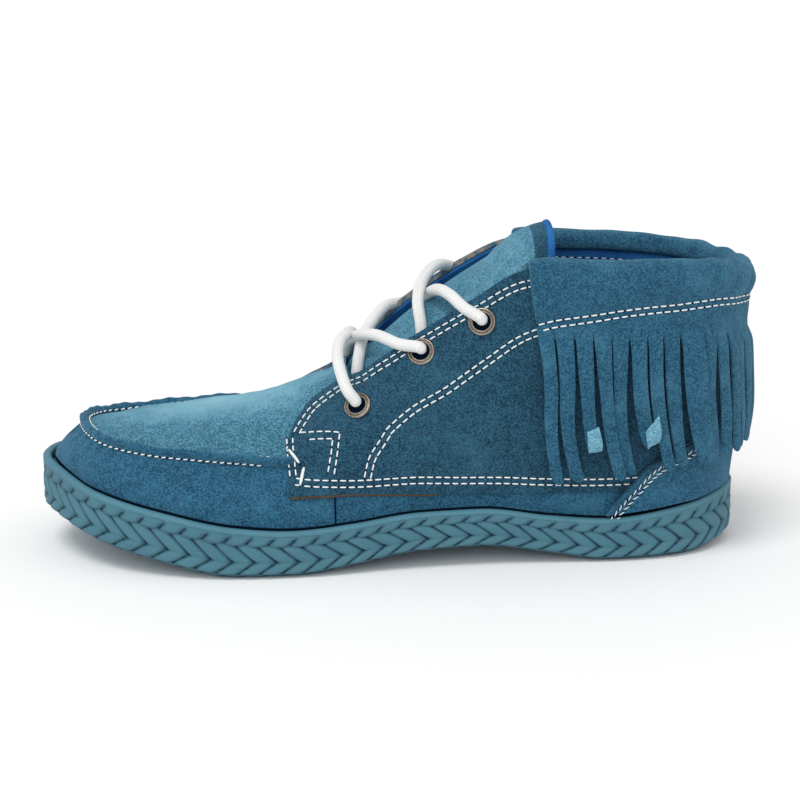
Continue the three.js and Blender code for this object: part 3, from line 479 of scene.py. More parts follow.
# Sections from the toe's tip to the heel's back, in shares of the named sizes: the foot's place, then
# the place, the outer and inner half width and the two heights of the seam line or middle, the same
# for the ridge, throat or collar, and the slopes in degrees below, above and at the top.
upper_rows = [
    (1, 0.936, -0.08, 0.08, 0.43, 0.43, 0.856, -0.03, 0.03, 0.464, 0.464, 38, 12, 0),
    (0.982, 0.922, 0.25, 0.36, 0.424, 0.42, 0.85, -0.03, 0.03, 0.466, 0.466, 38, 14, 0),
    (0.945, 0.892, 0.455, 0.5, 0.408, 0.414, 0.828, -0.02, 0.02, 0.471, 0.471, 40, 18, 0),
    (0.88, 0.838, 0.6, 0.565, 0.393, 0.42, 0.793, -0.01, 0.01, 0.482, 0.482, 44, 24, 0),
    (0.8, 0.773, 0.68, 0.585, 0.384, 0.432, 0.746, 0, 0, 0.497, 0.497, 50, 30, 0),
    (0.72, 0.708, 0.725, 0.585, 0.375, 0.44, 0.697, 0, 0, 0.521, 0.521, 56, 36, 0),
    (0.64, 0.644, 0.745, 0.585, 0.37, 0.442, 0.648, 0, 0, 0.555, 0.555, 62, 44, 0),
    (0.565, 0.578, 0.74, 0.6, 0.42, 0.465, 0.585, 0, 0, 0.632, 0.632, 65, 60, 8),
    (0.495, 0.513, 0.735, 0.625, 0.475, 0.5, 0.527, 0.406, 0.4, 0.677, 0.713, 71, 71, 38),
    (0.42, 0.44, 0.725, 0.645, 0.52, 0.535, 0.46, 0.442, 0.45, 0.775, 0.838, 77, 77, 48),
    (0.34, 0.365, 0.715, 0.66, 0.55, 0.56, 0.386, 0.483, 0.49, 0.891, 0.95, 82, 82, 58),
    (0.27, 0.298, 0.71, 0.665, 0.56, 0.565, 0.316, 0.54, 0.54, 0.993, 1.02, 86, 86, 74),
    (0.19, 0.22, 0.69, 0.655, 0.56, 0.56, 0.218, 0.655, 0.655, 1, 1.012, 89, 89, 86),
    (0.12, 0.142, 0.66, 0.635, 0.55, 0.55, 0.132, 0.645, 0.645, 1, 1, 90, 90, 90),
    (0.055, 0.07, 0.565, 0.54, 0.545, 0.545, 0.062, 0.54, 0.54, 0.992, 0.985, 90, 90, 90),
    (0.015, 0.021, 0.33, 0.32, 0.54, 0.54, 0.018, 0.32, 0.32, 0.975, 0.97, 91, 91, 90),
    (0, 0.004, 0, 0, 0.54, 0.54, 0.002, 0, 0, 0.965, 0.965, 92, 92, 90),
]
last_row = len(upper_rows) - 1
all_round = 2 * last_row


def round_upper(outer, inner=None):
    """One value of the sections as a closed curve over the section number, outer side first."""
    rows = list(enumerate(upper_rows))
    values = [outer(i, r) for i, r in rows] + [(inner or outer)(i, r) for i, r in rows[-2:0:-1]]
    return closed_curve(range(all_round), values, all_round)


foot_turn = round_upper(
    lambda i, r: turn_of(r[0]) - full_turn * i / all_round,
    lambda i, r: full_turn * i / all_round - turn_of(r[0]),
)
mid_x = round_upper(lambda i, r: along(r[1]))
mid_y = round_upper(lambda i, r: -r[2] * half_width, lambda i, r: r[3] * half_width)
mid_z = round_upper(lambda i, r: r[4] * collar_height, lambda i, r: r[5] * collar_height)
top_x = round_upper(lambda i, r: along(r[6]))
top_y = round_upper(lambda i, r: -r[7] * half_width, lambda i, r: r[8] * half_width)
top_z = round_upper(lambda i, r: r[9] * collar_height, lambda i, r: r[10] * collar_height)
lean_below = round_upper(lambda i, r: r[11])
lean_above = round_upper(lambda i, r: r[12])
lean_top = round_upper(lambda i, r: r[13])


def skin(j, v):
    """Point of the last's surface at section j and height v: 0 at the sole, 1 at mid, 2 at the top."""
    j, v = np.broadcast_arrays(np.asarray(j, float), np.asarray(v, float))
    j = np.mod(j, all_round)
    at, outward = outline(foot_turn(j) + full_turn * j / all_round, rim_thickness + foot_clearance)

    def lean(degrees, reach):
        a = np.radians(degrees)
        return np.stack(
            [-outward[..., 0] * np.cos(a) * reach, -outward[..., 1] * np.cos(a) * reach, np.sin(a) * reach], -1
        )

    def bezier(p, q, r, s, t):
        t = t[..., None]
        return p * (1 - t) ** 3 + 3 * q * t * (1 - t) ** 2 + 3 * r * t**2 * (1 - t) + s * t**3

    foot = np.stack([at[..., 0], at[..., 1], sole_rim(at[..., 0]) - rim_depth + gap], -1)
    mid = np.stack([mid_x(j), mid_y(j), mid_z(j)], -1)
    top = np.stack([top_x(j), top_y(j), top_z(j)], -1)
    low = np.linalg.norm(mid - foot, axis=-1) * fullness
    high = np.linalg.norm(top - mid, axis=-1) / 3
    below = bezier(foot, foot + lean(foot_lean, low), mid - lean(lean_below(j), low), mid, np.minimum(v, 1))
    above = bezier(mid, mid + lean(lean_above(j), high), top - lean(lean_top(j), high), top, np.maximum(v - 1, 0))
    return np.where((v <= 1)[..., None], below, above)


def on_side(side, j):
    """Number of the section on one side of the foot that mirrors section j of the outer side."""
    return all_round - j if side == "inner" else j


def unit(vectors):
    """The same directions, each of length one."""
    return vectors / np.maximum(np.linalg.norm(vectors, axis=-1, keepdims=True), 1e-12)


def facing(j, v):
    """Outward direction of the last's surface."""
    j, v = np.broadcast_arrays(np.asarray(j, float), np.asarray(v, float))
    across = skin(j + 0.04, v) - skin(j - 0.04, v)
    up = skin(j, np.minimum(v + 0.04, meet)) - skin(j, np.maximum(v - 0.04, 0))
    return unit(np.cross(across, up))


def on_last(j, v, offset=0.0):
    """Point at a distance outside (or, when negative, inside) the last's surface."""
    j, v = np.broadcast_arrays(np.asarray(j, float), np.asarray(v, float))
    j = np.mod(j, all_round)
    at, out = skin(j, v), facing(j, v)
    front = (j <= throat_row) | (j >= all_round - throat_row)
    # Towards the vamp's ridge the two sides share one direction.
    share = np.where(front, step(1.8, meet, v), 0)[..., None]
    out = unit(out * (1 - share / 2) + facing(all_round - j, v) * share / 2)
    ridge = (front & (v >= meet))[..., None]
    at = np.where(ridge, (at + skin(all_round - j, v)) / 2, at)
    return at + out * np.asarray(offset)[..., None]


def v_at_height(j, height):
    """Height v at which section j reaches a height above the floor."""
    j, height = np.broadcast_arrays(np.asarray(j, float), np.asarray(height, float))
    low, high = np.zeros_like(j), np.full_like(j, meet)
    for _ in range(18):
        v = (low + high) / 2
        under = skin(j, v)[..., 2] < height
        low, high = np.where(under, v, low), np.where(under, high, v)
    return (low + high) / 2


def rumple(j, v, size):
    """Soft unevenness of worn-in leather, a few centimetres from dent to dent."""
    return size * (
        0.4 * np.sin(2.3 * j + 3.1 * v + 0.7)
        + 0.3 * np.sin(3.7 * j - 5.3 * v + 2.1)
        + 0.2 * np.sin(6.1 * j + 8.9 * v + 4.0)
        + 0.1 * np.sin(11.3 * j - 13.0 * v + 1.3)
    )


def suede_material(name, dark, light, pale):
    """Cow suede, dyed through and brushed: a short nap that lies in patches some 15 mm across, some of them worn pale,
    and a speckle of fibre ends 0.6 mm across. A mark attribute paints light into the colour: a painted highlight above
    zero, painted shade below."""
    suede = new_material(name)
    place = add_node(suede, "TexCoord", output="Object")
    painted_light_amount = add_node(suede, "Attribute", {"attribute_name": "rubbed"}, output="Fac")
    patches, brushed, grain = [
        add_node(suede, "TexNoise", {"Scale": size, "Detail": detail, "Roughness": rough}, {"Vector": place}, "Fac")
        for size, detail, rough in ((62.0, 4.0, 0.6), (330.0, 3.0, 0.6), (1500.0, 2.0, 0.75))
    ]
    lie = add_node(suede, "Math", {"operation": "MULTIPLY_ADD", 1: 0.55}, {0: patches, 2: brushed})
    mixed = add_node(suede, "Math", {"operation": "MULTIPLY_ADD", 1: 4.2}, {0: grain, 2: lie})
    tone = add_node(suede, "MapRange", {"From Min": 2.4, "From Max": 3.35}, {"Value": mixed})
    # Painted light: the mark lightens the colour as a painted highlight where above zero and darkens it as painted
    # shade where below.
    shift = add_node(suede, "Math", {"operation": "MULTIPLY_ADD", 1: 0.6, "use_clamp": True}, {0: painted_light_amount, 2: tone})
    body = add_node(suede, "Mix", {"data_type": "RGBA", 6: colour(dark), 7: colour(light)}, {0: shift}, 2)
    worn_patch = add_node(suede, "MapRange", {"From Min": 0.52, "From Max": 0.76, "To Max": 0.3}, {"Value": patches})
    wear_and_highlight_share = add_node(suede, "Math", {"operation": "ADD", "use_clamp": True}, {0: worn_patch, 1: painted_light_amount})
    wear_and_highlight = add_node(suede, "Mix", {"data_type": "RGBA", 7: colour(pale)}, {0: wear_and_highlight_share, 6: body}, 2)
    relief = add_node(suede, "Math", {"operation": "MULTIPLY_ADD", 1: 1.2}, {0: grain, 2: brushed})
    bump = add_node(suede, "Bump", {"Strength": 0.6, "Distance": 0.0007}, {"Height": relief})
    surface = add_node(
        suede,
        "BsdfPrincipled",
        {
            "Roughness": 0.95,
            "Specular IOR Level": 0.15,
            "Sheen Weight": 0.35,
            "Sheen Roughness": 0.6,
            "Sheen Tint": colour("#8CC4DE"),
        },
        {"Base Color": wear_and_highlight, "Normal": bump},
    )
    add_node(suede, "OutputMaterial", None, {"Surface": surface})
    return suede


wall_suede = suede_material("brushed_suede_wall", "#0F364F", "#316986", "#467E96")
# The apron's and tongue's copy is lighter: painted highlight on the top faces.
apron_suede_painted_highlight = suede_material("brushed_suede_apron_painted_highlight", "#225568", "#5E95AC", "#86B7C5")
quarter_suede = suede_material("brushed_suede_quarter", "#08273A", "#2B5970", "#406F83")
fringe_suede = suede_material("brushed_suede_fringe", "#0F3954", "#336780", "#4C7E94")


def wall_point(a, b):
    """Point of the wall, round the foot and up, gathered into small puckers below the toe's seam."""
    j = a * all_round
    near = np.minimum(j, all_round - j)
    pucker = pucker_depth * step(0.55, 0.95, b) * np.sin(j * 16) * (1 - step(2.5, 4.5, near))
    return on_last(j, b, rumple(j, b, suede_unevenness) * step(0.1, 0.4, b) * (1 - step(0.8, 1, b)) + pucker)


vamp_wall = grid_piece("vamp_wall", 720, 40, wall_point, wall_suede)
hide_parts("upper")
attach(vamp_wall, "root")


# Apron.
# The flat top piece of the moccasin toe, in a lighter copy of the suede as a painted highlight on this top face. It is
# sewn edge to edge with the wall and runs up to the throat, where it dips under the quarters and meets the tongue.
apron_end = 7.3
apron_dip = 0.0023
apron_unevenness = 0.0006


def apron_point(a, b):
    """Point of the apron, from the toe back and across from the outer to the inner seam."""
    j = a * apron_end
    v = meet - np.abs(2 * b - 1)
    side = np.where(b > 0.5, all_round - j, j)
    dip = apron_dip * step(6.4, 7.2, j) * step(1.3, 1.7, v)
    across = meet + (2 * b - 1)
    lift = rumple(j * 0.8, across, apron_unevenness) * step(1.0, 1.15, v) * step(0.0, 0.8, j)
    at = on_last(side, v, lift - dip)
    # Painted highlight on the middle of the toe where the light from above falls, and painted shade round it.
    rubbed = np.exp(-(((at[:, 0] + 0.16) / 0.04) ** 2) - ((at[:, 1] - 0.004) / 0.018) ** 2)
    return at, {"rubbed": 0.75 * rubbed - 0.3 * (1 - rubbed)}


apron = grid_piece("apron", 200, 150, apron_point, apron_suede_painted_highlight, merge=0)
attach(apron, "root")


# Moccasin seam.
# Wall and apron are turned up edge to edge and sewn through, so that a rounded ridge of suede stands
# along the seam. It ends under the front corners of the quarters.
ridge_height = 0.0036
ridge_width = 0.0032
ridge_end = 6.15


def ridge_frame(j):
    """Foot of the seam's ridge, the direction towards the wall and the direction out."""
    j = np.mod(j, all_round)
    up = unit(facing(j, 0.9) + facing(j, 1.12))
    run = unit(skin(j + 0.1, 1.0) - skin(j - 0.1, 1.0))
    return skin(j, 1.0), unit(np.cross(run, up)), up


def ridge_point(a, b):
    """Point of the ridge, along the seam and across from the apron's side to the wall's."""
    j = ridge_end * (2 * a - 1)
    at, side, up = ridge_frame(j)
    turn = math.pi * (1.3 * b - 0.15)
    ends = step(0, 0.01, a) * step(0, 0.01, 1 - a)
    uneven = 1 + 0.09 * np.sin(5.3 * j) + 0.05 * np.sin(17.0 * j + 1)
    across = np.cos(turn) * ridge_width / 2 * (0.85 + 0.15 * ends)
    height = ridge_height * uneven * ends * np.sign(np.sin(turn)) * np.abs(np.sin(turn)) ** 0.7 - 0.0003
    return at + side * across[..., None] + up * height[..., None]


seam_ridge = grid_piece("seam_ridge", 420, 16, ridge_point, wall_suede)
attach(seam_ridge, "root")


# Quarters.
# One suede panel on each side, laid over the wall and the apron and sewn down with double rows. The
# front edge rises from a low corner to the throat, and the lower edge is left raw.
quarter_front = 5.93
quarter_back = 15.98
quarter_thickness = 0.0026
cut_rounding = 0.00025
quarter_low = steady_curve([5.9, 7, 9, 12, 14, 16], [0.262, 0.268, 0.252, 0.24, 0.235, 0.24])
throat_edge = steady_curve(
    [5.93, 6.0, 6.12, 6.28, 6.5, 6.91, 7.25, 7.63, 8.18, 8.7, 10, 16],
    [1.1, 1.22, 1.34, 1.43, 1.52, 1.6, 1.69, 1.8, 1.955, 1.985, 1.99, 1.99],
)

# Cut edge of split suede: grey-brown core of the hide between two dyed faces, rough and fibrous.
cut_edge = mottled_material(
    "raw_suede_edge",
    {"Scale": 420.0, "Detail": 4.0, "Roughness": 0.7},
    "#24516B",
    "#7D7468",
    {"Roughness": 0.95, "Specular IOR Level": 0.1},
    bump=(0.6, 0.0005),
    contrast=(0.38, 0.62),
)

# The same core, darker brown as painted shade for an edge that faces down.
raw_brown = mottled_material(
    "raw_suede_edge_in_shade",
    {"Scale": 700.0, "Detail": 4.0},
    "#241A14",
    "#6A5C4E",
    {"Roughness": 0.95, "Specular IOR Level": 0.1},
    bump=(0.8, 0.0004),
)


def thicken(piece, thickness, back=0, rim=0, bevel=0.0, even=True):
    """Gives a sheet its thickness behind its face, with its back and its edges in other finishes."""
    bpy.context.view_layer.objects.active = piece
    solid = piece.modifiers.new("thickness", "SOLIDIFY")
    solid.thickness = thickness
    solid.offset = -1
    solid.use_even_offset = even
    solid.material_offset = back
    solid.material_offset_rim = rim
    bpy.ops.object.modifier_apply(modifier=solid.name)
    if bevel:
        soften = piece.modifiers.new("worn_edges", "BEVEL")
        soften.width = bevel
        soften.segments = 2
        soften.limit_method = "ANGLE"
        soften.angle_limit = math.radians(50)
        bpy.ops.object.modifier_apply(modifier=soften.name)
        bpy.ops.object.shade_smooth_by_angle(angle=math.radians(40))


def crowd(t, amount=0.7):
    """Moves even steps from 0 to 1 closer to both ends."""
    return (1 - amount) * t + amount * (0.5 - 0.5 * np.cos(math.pi * t))


def quarter_place(side, a, b):
    """Section and height at a place on the quarter, from its front to its back and upwards."""
    j = quarter_front + (quarter_back - quarter_front) * a**1.3
    j_side = on_side(side, j)
    low = v_at_height(j_side, quarter_low(j) * collar_height)
    return j_side, low + (throat_edge(j) - low) * b


def quarter_swell(j, v):
    """How far the quarter's face stands off the last at section j and height v."""
    near = np.minimum(j, all_round - j)
    low = v_at_height(j, quarter_low(near) * collar_height)
    share = np.clip((v - low) / (throat_edge(near) - low), 0, 1)
    return overlay + rumple(j + 3, v, suede_unevenness) * np.sin(math.pi * share)


def quarter_shape(side):
    """The face of the quarter on one side of the foot."""

    def shape(a, b):
        j, v = quarter_place(side, 1 - a if side == "inner" else a, crowd(b))
        at = on_last(j, v, quarter_swell(j, v))
        # Painted highlight over the instep, painted shade under the fringe and a little all over.
        rubbed = np.exp(-(((at[:, 0] + 0.085) / 0.03) ** 2) - ((at[:, 2] - 0.055) / 0.02) ** 2)
        return at, {"rubbed": 0.16 * rubbed - 0.1 - 0.22 * step(-0.047, -0.04, at[:, 0])}

    return shape


for side in ("outer", "inner"):
    quarter = grid_piece("quarter_" + side, 220, 90, quarter_shape(side), quarter_suede, merge=0)
    quarter.data.materials.append(cut_edge)
    thicken(quarter, quarter_thickness, rim=1, bevel=cut_rounding)
    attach(quarter, "root")


# Heel counter.
# A suede patch round the heel with a folded front edge, which narrows to a strip up the back and
# covers the ends of the quarters.
counter_front = steady_curve(
    [0, 0.107, 0.234, 0.355, 0.47, 0.534, 0.7, 0.9, 1.1, 1.6],
    [11.55, 11.79, 12.1, 12.45, 12.76, 12.98, 13.9, 14.75, 15.05, 15.1],
)
counter_top = 0.7
counter_thickness = 0.0013


def counter_point(a, b):
    """Point of the counter, round the heel and up, with its front edges folded under."""
    rough = 12.3 + (all_round - 24.6) * a
    low = v_at_height(rough, sole_rim(skin(rough, 0)[:, 0]) + 4 * gap)
    v = low + (v_at_height(rough, counter_top * collar_height) - low) * b
    front = counter_front(v)
    j = front + (all_round - 2 * front) * crowd(a, 0.8)
    from_edge = np.minimum(a, 1 - a)
    fold = 0.0007 * np.exp(-(((from_edge - 0.012) / 0.012) ** 2)) - 0.0009 * (1 - step(0, 0.006, from_edge))
    at = on_last(j, v, 2 * overlay + fold + rumple(j, v, 0.0003))
    # Painted shade under the fringe.
    return at, {"rubbed": -0.32 * step(0.032, 0.046, at[:, 2])}


counter = grid_piece("heel_counter", 240, 60, counter_point, wall_suede, merge=0)
counter.data.materials.append(cut_edge)
thicken(counter, counter_thickness, bevel=cut_rounding)
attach(counter, "root")


# Lining.
# Royal-blue cotton twill, glued inside the upper and turned at the throat.
twill = new_material("cotton_twill_lining")
twill_place = add_node(twill, "TexCoord", output="Object")
# Twill lines run up to the right at 45 degrees. They are 0.5 mm apart in real cloth and drawn 0.9 mm
# apart here so that they show.
twill_turn = add_node(twill, "Mapping", {"Rotation": (0.0, math.radians(45), 0.0)}, {"Vector": twill_place})
twill_wave = add_node(
    twill,
    "TexWave",
    {"wave_type": "BANDS", "bands_direction": "X", "Scale": 350.0, "Distortion": 1.2, "Detail": 1.0},
    {"Vector": twill_turn},
    "Fac",
)
twill_cloud = add_node(twill, "TexNoise", {"Scale": 90.0, "Detail": 3.0}, {"Vector": twill_place}, "Fac")
twill_mix = add_node(twill, "Math", {"operation": "MULTIPLY_ADD", 1: 0.5}, {0: twill_wave, 2: twill_cloud})
twill_share = add_node(twill, "MapRange", {"From Min": 0.4, "From Max": 1.1}, {"Value": twill_mix})
twill_tone = add_node(
    twill, "Mix", {"data_type": "RGBA", 6: colour("#1B4E8A"), 7: colour("#2D72B0")}, {0: twill_share}, 2
)
twill_bump = add_node(twill, "Bump", {"Strength": 0.4, "Distance": 0.0003}, {"Height": twill_wave})
twill_skin = add_node(
    twill,
    "BsdfPrincipled",
    {"Roughness": 0.9, "Specular IOR Level": 0.15, "Sheen Weight": 0.2, "Sheen Tint": colour("#5C9BE0")},
    {"Base Color": twill_tone, "Normal": twill_bump},
)
add_node(twill, "OutputMaterial", None, {"Surface": twill_skin})
lining_depth = 0.0014
lining_thickness = 0.0006


def lining_point(a, b):
    """Point of the lining, round the foot and up to the throat and the collar."""
    j = a * all_round
    near = np.minimum(j, all_round - j)
    reach = np.where(near < 6.6, 1.95 - 0.43 * step(6.1, 6.6, near), throat_edge(near) - 0.012)
    return on_last(j, b * reach, -lining_depth)


lining = grid_piece("lining", 320, 60, lining_point, twill)
thicken(lining, lining_thickness, even=False)
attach(lining, "root")

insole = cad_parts["insole"]
insole.data.materials.clear()
insole.data.materials.append(twill)


# Tongue.
# A broad suede tongue lined with the same twill. It runs on from the apron under the quarters'
# edges, arches over the instep and ends in a rounded tip above the collar.
tongue_wing = [1.74, 1.84, 1.93, 2.0]
tongue_crown = 0.0035
tongue_sewn = 6.5
tongue_seat = wall + 2 * gap
tongue_depth = wall + 0.0008 + 0.0024
tongue_rise = 0.4
tongue_overhang = 0.0245
tongue_thickness = 0.0024
tongue_columns = 80
tongue_rows = 122
painted_shade_rows = 6


def tongue_section(j, depth, across):
    """Points across the tongue's face at section j, from the outer side (0) to the inner side (1)."""
    outer = [on_last(j, v, -depth) for v in tongue_wing]
    inner = [on_last(all_round - j, v, -depth) for v in tongue_wing][::-1]
    width = np.linalg.norm(inner[0] - outer[-1])
    lift = unit(facing(j, meet) + facing(all_round - j, meet))
    crown = min(tongue_crown, width / 4)
    bridge = [
        outer[-1] + (inner[0] - outer[-1]) * t + lift * crown * math.sin(math.pi * t)
        for t in np.linspace(0.1, 0.9, 9)
    ]
    line = np.array(outer + bridge + inner)
    run = run_of(line)
    return between(across * run[-1], run, line)


def tongue_point(a, b):
    """Point of the tongue's face, across it and from the apron up to the tip."""
    across = 1 - a
    width_steps = np.linspace(0, 1, 41)
    lines = []
    for j in np.linspace(tongue_sewn, 10.4, 46):
        sunk = float(step(tongue_sewn, 7.0, j))
        lines.append(tongue_section(j, tongue_seat + (tongue_depth - tongue_seat) * sunk, width_steps))
    # Past the last section the tongue runs on freely and rounds off.
    last, before = lines[-1], lines[-10]
    corner = np.abs(2 * width_steps - 1)
    grow = unit(last[20] - before[20])
    grow = unit(grow + np.array([0, 0, tongue_rise]))
    for k in range(1, 16):
        share = k / 15
        reach = tongue_overhang * share * (1 - 0.5 * corner**2.4)
        narrow = 1 - 0.12 * share**2 - 0.2 * float(step(0.3, 1.0, share)) ** 2
        row = last * np.array([1, narrow, 1]) + grow * reach[:, None]
        row[:, 2] -= 0.0055 * share**2 * corner**2 + 0.003 * share**4
        row[:, 0] += 0.006 * share**3
        lines.append(row)
    points = np.array(lines)
    rows, columns = b * (len(points) - 1), across * 40
    r0, c0 = np.clip(rows.astype(int), 0, len(points) - 2), np.clip(columns.astype(int), 0, 39)
    r, c = (rows - r0)[:, None], (columns - c0)[:, None]
    return (
        points[r0, c0] * (1 - r) * (1 - c)
        + points[r0 + 1, c0] * r * (1 - c)
        + points[r0, c0 + 1] * (1 - r) * c
        + points[r0 + 1, c0 + 1] * r * c
    )


tongue = grid_piece("tongue_face", tongue_columns, tongue_rows, tongue_point, apron_suede_painted_highlight, merge=0)
tongue.data.materials.append(twill)
tongue.data.materials.append(quarter_suede)
# The rows round the tip take the darker quarter suede as painted shade where the tip turns away.
for number, face in enumerate(tongue.data.polygons):
    if number // tongue_columns >= tongue_rows - painted_shade_rows:
        face.material_index = 2
thicken(tongue, tongue_thickness, back=1, rim=1, bevel=0.0006, even=False)
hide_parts("tongue")
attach(tongue, "root")


# Collar cuff.
# A strip of suede folded over the collar into a plump roll and sewn down all round with a double
# row that rises to the back. Below the stitching it is cut into the fringe.
cuff_start = 11.05
fringe_drop = 0.025
# Cross-section: distance from the last and height above the collar's edge, in millimetres.
cuff_profile = np.array(
    [
        (-4.4, -3.9), (-4.9, -2.6), (-4.8, -0.9), (-4.1, 1.1), (-2.6, 2.6), (-0.6, 3.2), (1.8, 2.9), (3.9, 1.4),
        (5.0, -0.9), (5.3, -3.6), (5.1, -7.0), (4.7, -11.0), (4.3, -15.0), (4.1, -19.0), (4.1, -22.5), (4.1, -26.0),
        (2.1, -26.0), (2.1, -18.0), (2.1, -9.0), (2.0, 0.2), (-2.8, 0.2), (-2.9, -2.0), (-3.2, -3.9),
    ]
)
# The sewn line: its drop below the collar's edge at each section, less at the back.
stitch_drop = steady_curve([11.0, 11.42, 12, 12.6, 13.3, 14.1, 15, 16], [21.5, 20, 17.2, 15.3, 14, 12.2, 11.5, 11])


def round_back(j):
    """The section counted from the nearer front end of the cuff."""
    return np.minimum(np.mod(j, all_round), all_round - np.mod(j, all_round))


def beside_collar(j, offset, rise):
    """Point beside the collar, at a distance from the last and a height above the collar's edge."""
    edge = skin(j, meet)
    up = unit(edge - skin(j, meet - 0.1))
    above = edge + facing(j, meet) * offset[:, None] + up * rise[:, None]
    below = on_last(j, v_at_height(j, edge[:, 2] + np.minimum(rise, 0)), offset)
    return np.where((rise >= 0)[:, None], above, below)


def cuff_folds(j, drop):
    """Roll, crease and pinch of the cuff's face at a drop below the collar's edge, in millimetres."""
    near = round_back(j)
    roll = 0.35 * np.sin(4.1 * j + 0.5 * drop) + 0.25 * np.sin(9.3 * j - 0.3 * drop + 2)
    crease = np.sin(8.7 * j + 0.6 * drop + 1.2) * step(-3, 2, drop) * (1 - step(8, 12, drop))
    pinch = 0.55 * np.exp(-(((drop - stitch_drop(near)) / 1.6) ** 2))
    return roll, 0.9 * step(13.6, 14.6, near) * crease, pinch


def cuff_point(a, b):
    """Point of the cuff, from one front end round the heel to the other, and round its section."""
    j = cuff_start + (all_round - 2 * cuff_start) * a
    loop = np.vstack([cuff_profile, cuff_profile[:1]])
    run = run_of(loop)
    offset, rise = between(b * run[-1], run, loop).T
    near = round_back(j)
    outside = (offset > 2.3) & (rise < 2)
    sewn = stitch_drop(near)
    puff = 0.5 * step(1.5, 6.0, -rise) * (1 - step(sewn - 6, sewn - 1, -rise))
    roll, crease, pinch = cuff_folds(j, -rise)
    back = step(13.6, 14.6, near)
    offset = offset + np.where(outside, puff - pinch + 0.35 * roll + crease, 0.25 * roll)
    rise = rise + np.where(rise > 0, 0.35 * roll + 0.5 * back * np.sin(7.1 * j + 2.0), 0)
    # The two front ends are turned in.
    ends = step(0, 0.008, a) * step(0, 0.008, 1 - a)
    offset = 0.5 + (offset - 0.5) * (0.86 + 0.14 * ends)
    return beside_collar(j, offset / 1000, rise / 1000)


cuff = grid_piece("collar_cuff", 420, 110, cuff_point, fringe_suede, merge=1e-7)
bpy.ops.object.mode_set(mode="EDIT")
bpy.ops.mesh.select_all(action="DESELECT")
bpy.ops.mesh.select_mode(type="EDGE")
bpy.ops.mesh.select_non_manifold()
bpy.ops.mesh.fill()
bpy.ops.mesh.select_mode(type="VERT")
bpy.ops.object.mode_set(mode="OBJECT")
face_out(cuff)
smooth = cuff.modifiers.new("soft_folds", "SMOOTH")
smooth.factor = 0.5
smooth.iterations = 2
bpy.context.view_layer.objects.active = cuff
bpy.ops.object.modifier_apply(modifier=smooth.name)
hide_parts("cuff_fringe")
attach(cuff, "root")


# Fringe.
# Thirty-eight strips, each about 7 mm wide and 50 mm long, cut with shears and left to hang. They lean
# back to the heel, a few twist, and two on the outer side curl up and show the pale flesh side.
flesh_side = suede_material("pale_flesh_side", "#4E86A0", "#83B4C6", "#9CC6D4")

# Outer side: section of the front edge and of the back edge at the top, section of the tip, the
# tip's height in millimetres, how far it stands off, its twist, and how much of it curls up.
outer_strips = [
    (11.05, 11.31, 11.08, 32.5, 4.6, 0.2, 0),
    (11.33, 11.61, 11.41, 33.0, 4.2, -0.3, 0),
    (11.63, 11.89, 11.80, 45.5, 4.9, 0.5, 1.0),
    (11.91, 12.17, 12.21, 33.4, 5.2, 0.5, 0),
    (12.2, 12.46, 12.43, 34.6, 3.1, -0.2, 0),
    (12.48, 12.75, 12.84, 47.5, 4.6, 0.7, 3.2),
    (12.78, 13.03, 13.12, 36.4, 5.6, 0.6, 0),
    (13.06, 13.35, 13.45, 37.2, 3.6, -0.6, 0),
    (13.38, 13.8, 13.88, 37.8, 5.6, 0.7, 0),
    (13.85, 14.08, 14.1, 39.3, 3.7, -0.6, 0),
    (14.11, 14.33, 14.34, 39.8, 5.2, 0.8, 0),
    (14.4, 14.6, 14.62, 40.5, 5.6, 0.6, 0),
    (14.63, 14.86, 14.9, 41.0, 4.6, -0.3, 0),
    (14.88, 15.12, 15.16, 41.5, 4.9, 0.5, 0),
    (15.14, 15.38, 15.42, 42.0, 4.3, -0.4, 0),
    (15.4, 15.64, 15.66, 42.5, 4.8, 0.4, 0),
    (15.66, 15.9, 15.93, 42.5, 4.5, -0.3, 0),
]
# Round the back and on the inner side they are cut evenly and hang a little unevenly.
strips = list(outer_strips)
inner_strips = 21
first_cut = 15.94
cut_step = (all_round - cuff_start - first_cut) / inner_strips
for place in range(inner_strips):
    number = len(outer_strips) + place
    start, end = first_cut + cut_step * place, first_cut + cut_step * (place + 1)
    lean = 0.12 * (0.3 - place / inner_strips) + 0.05 * math.sin(2.7 * number)
    tip = 43.0 - 9.5 * (place / 20) ** 1.3 + 1.3 * math.sin(2.4 * number)
    stand, twist = 4.5 + 0.8 * math.sin(1.9 * number), 0.8 * math.sin(3.1 * number + 1)
    strips.append((start + 0.012, end - 0.012, (start + end) / 2 + lean, tip, stand, twist, 0))

strip_thickness = 0.0016
curl_start = 0.78
curl_turn = math.radians(215)
curl_radius = 0.0046
stand_curve = steady_curve([0, 0.15, 0.5, 1], [0, 0.5, 0.8, 1])


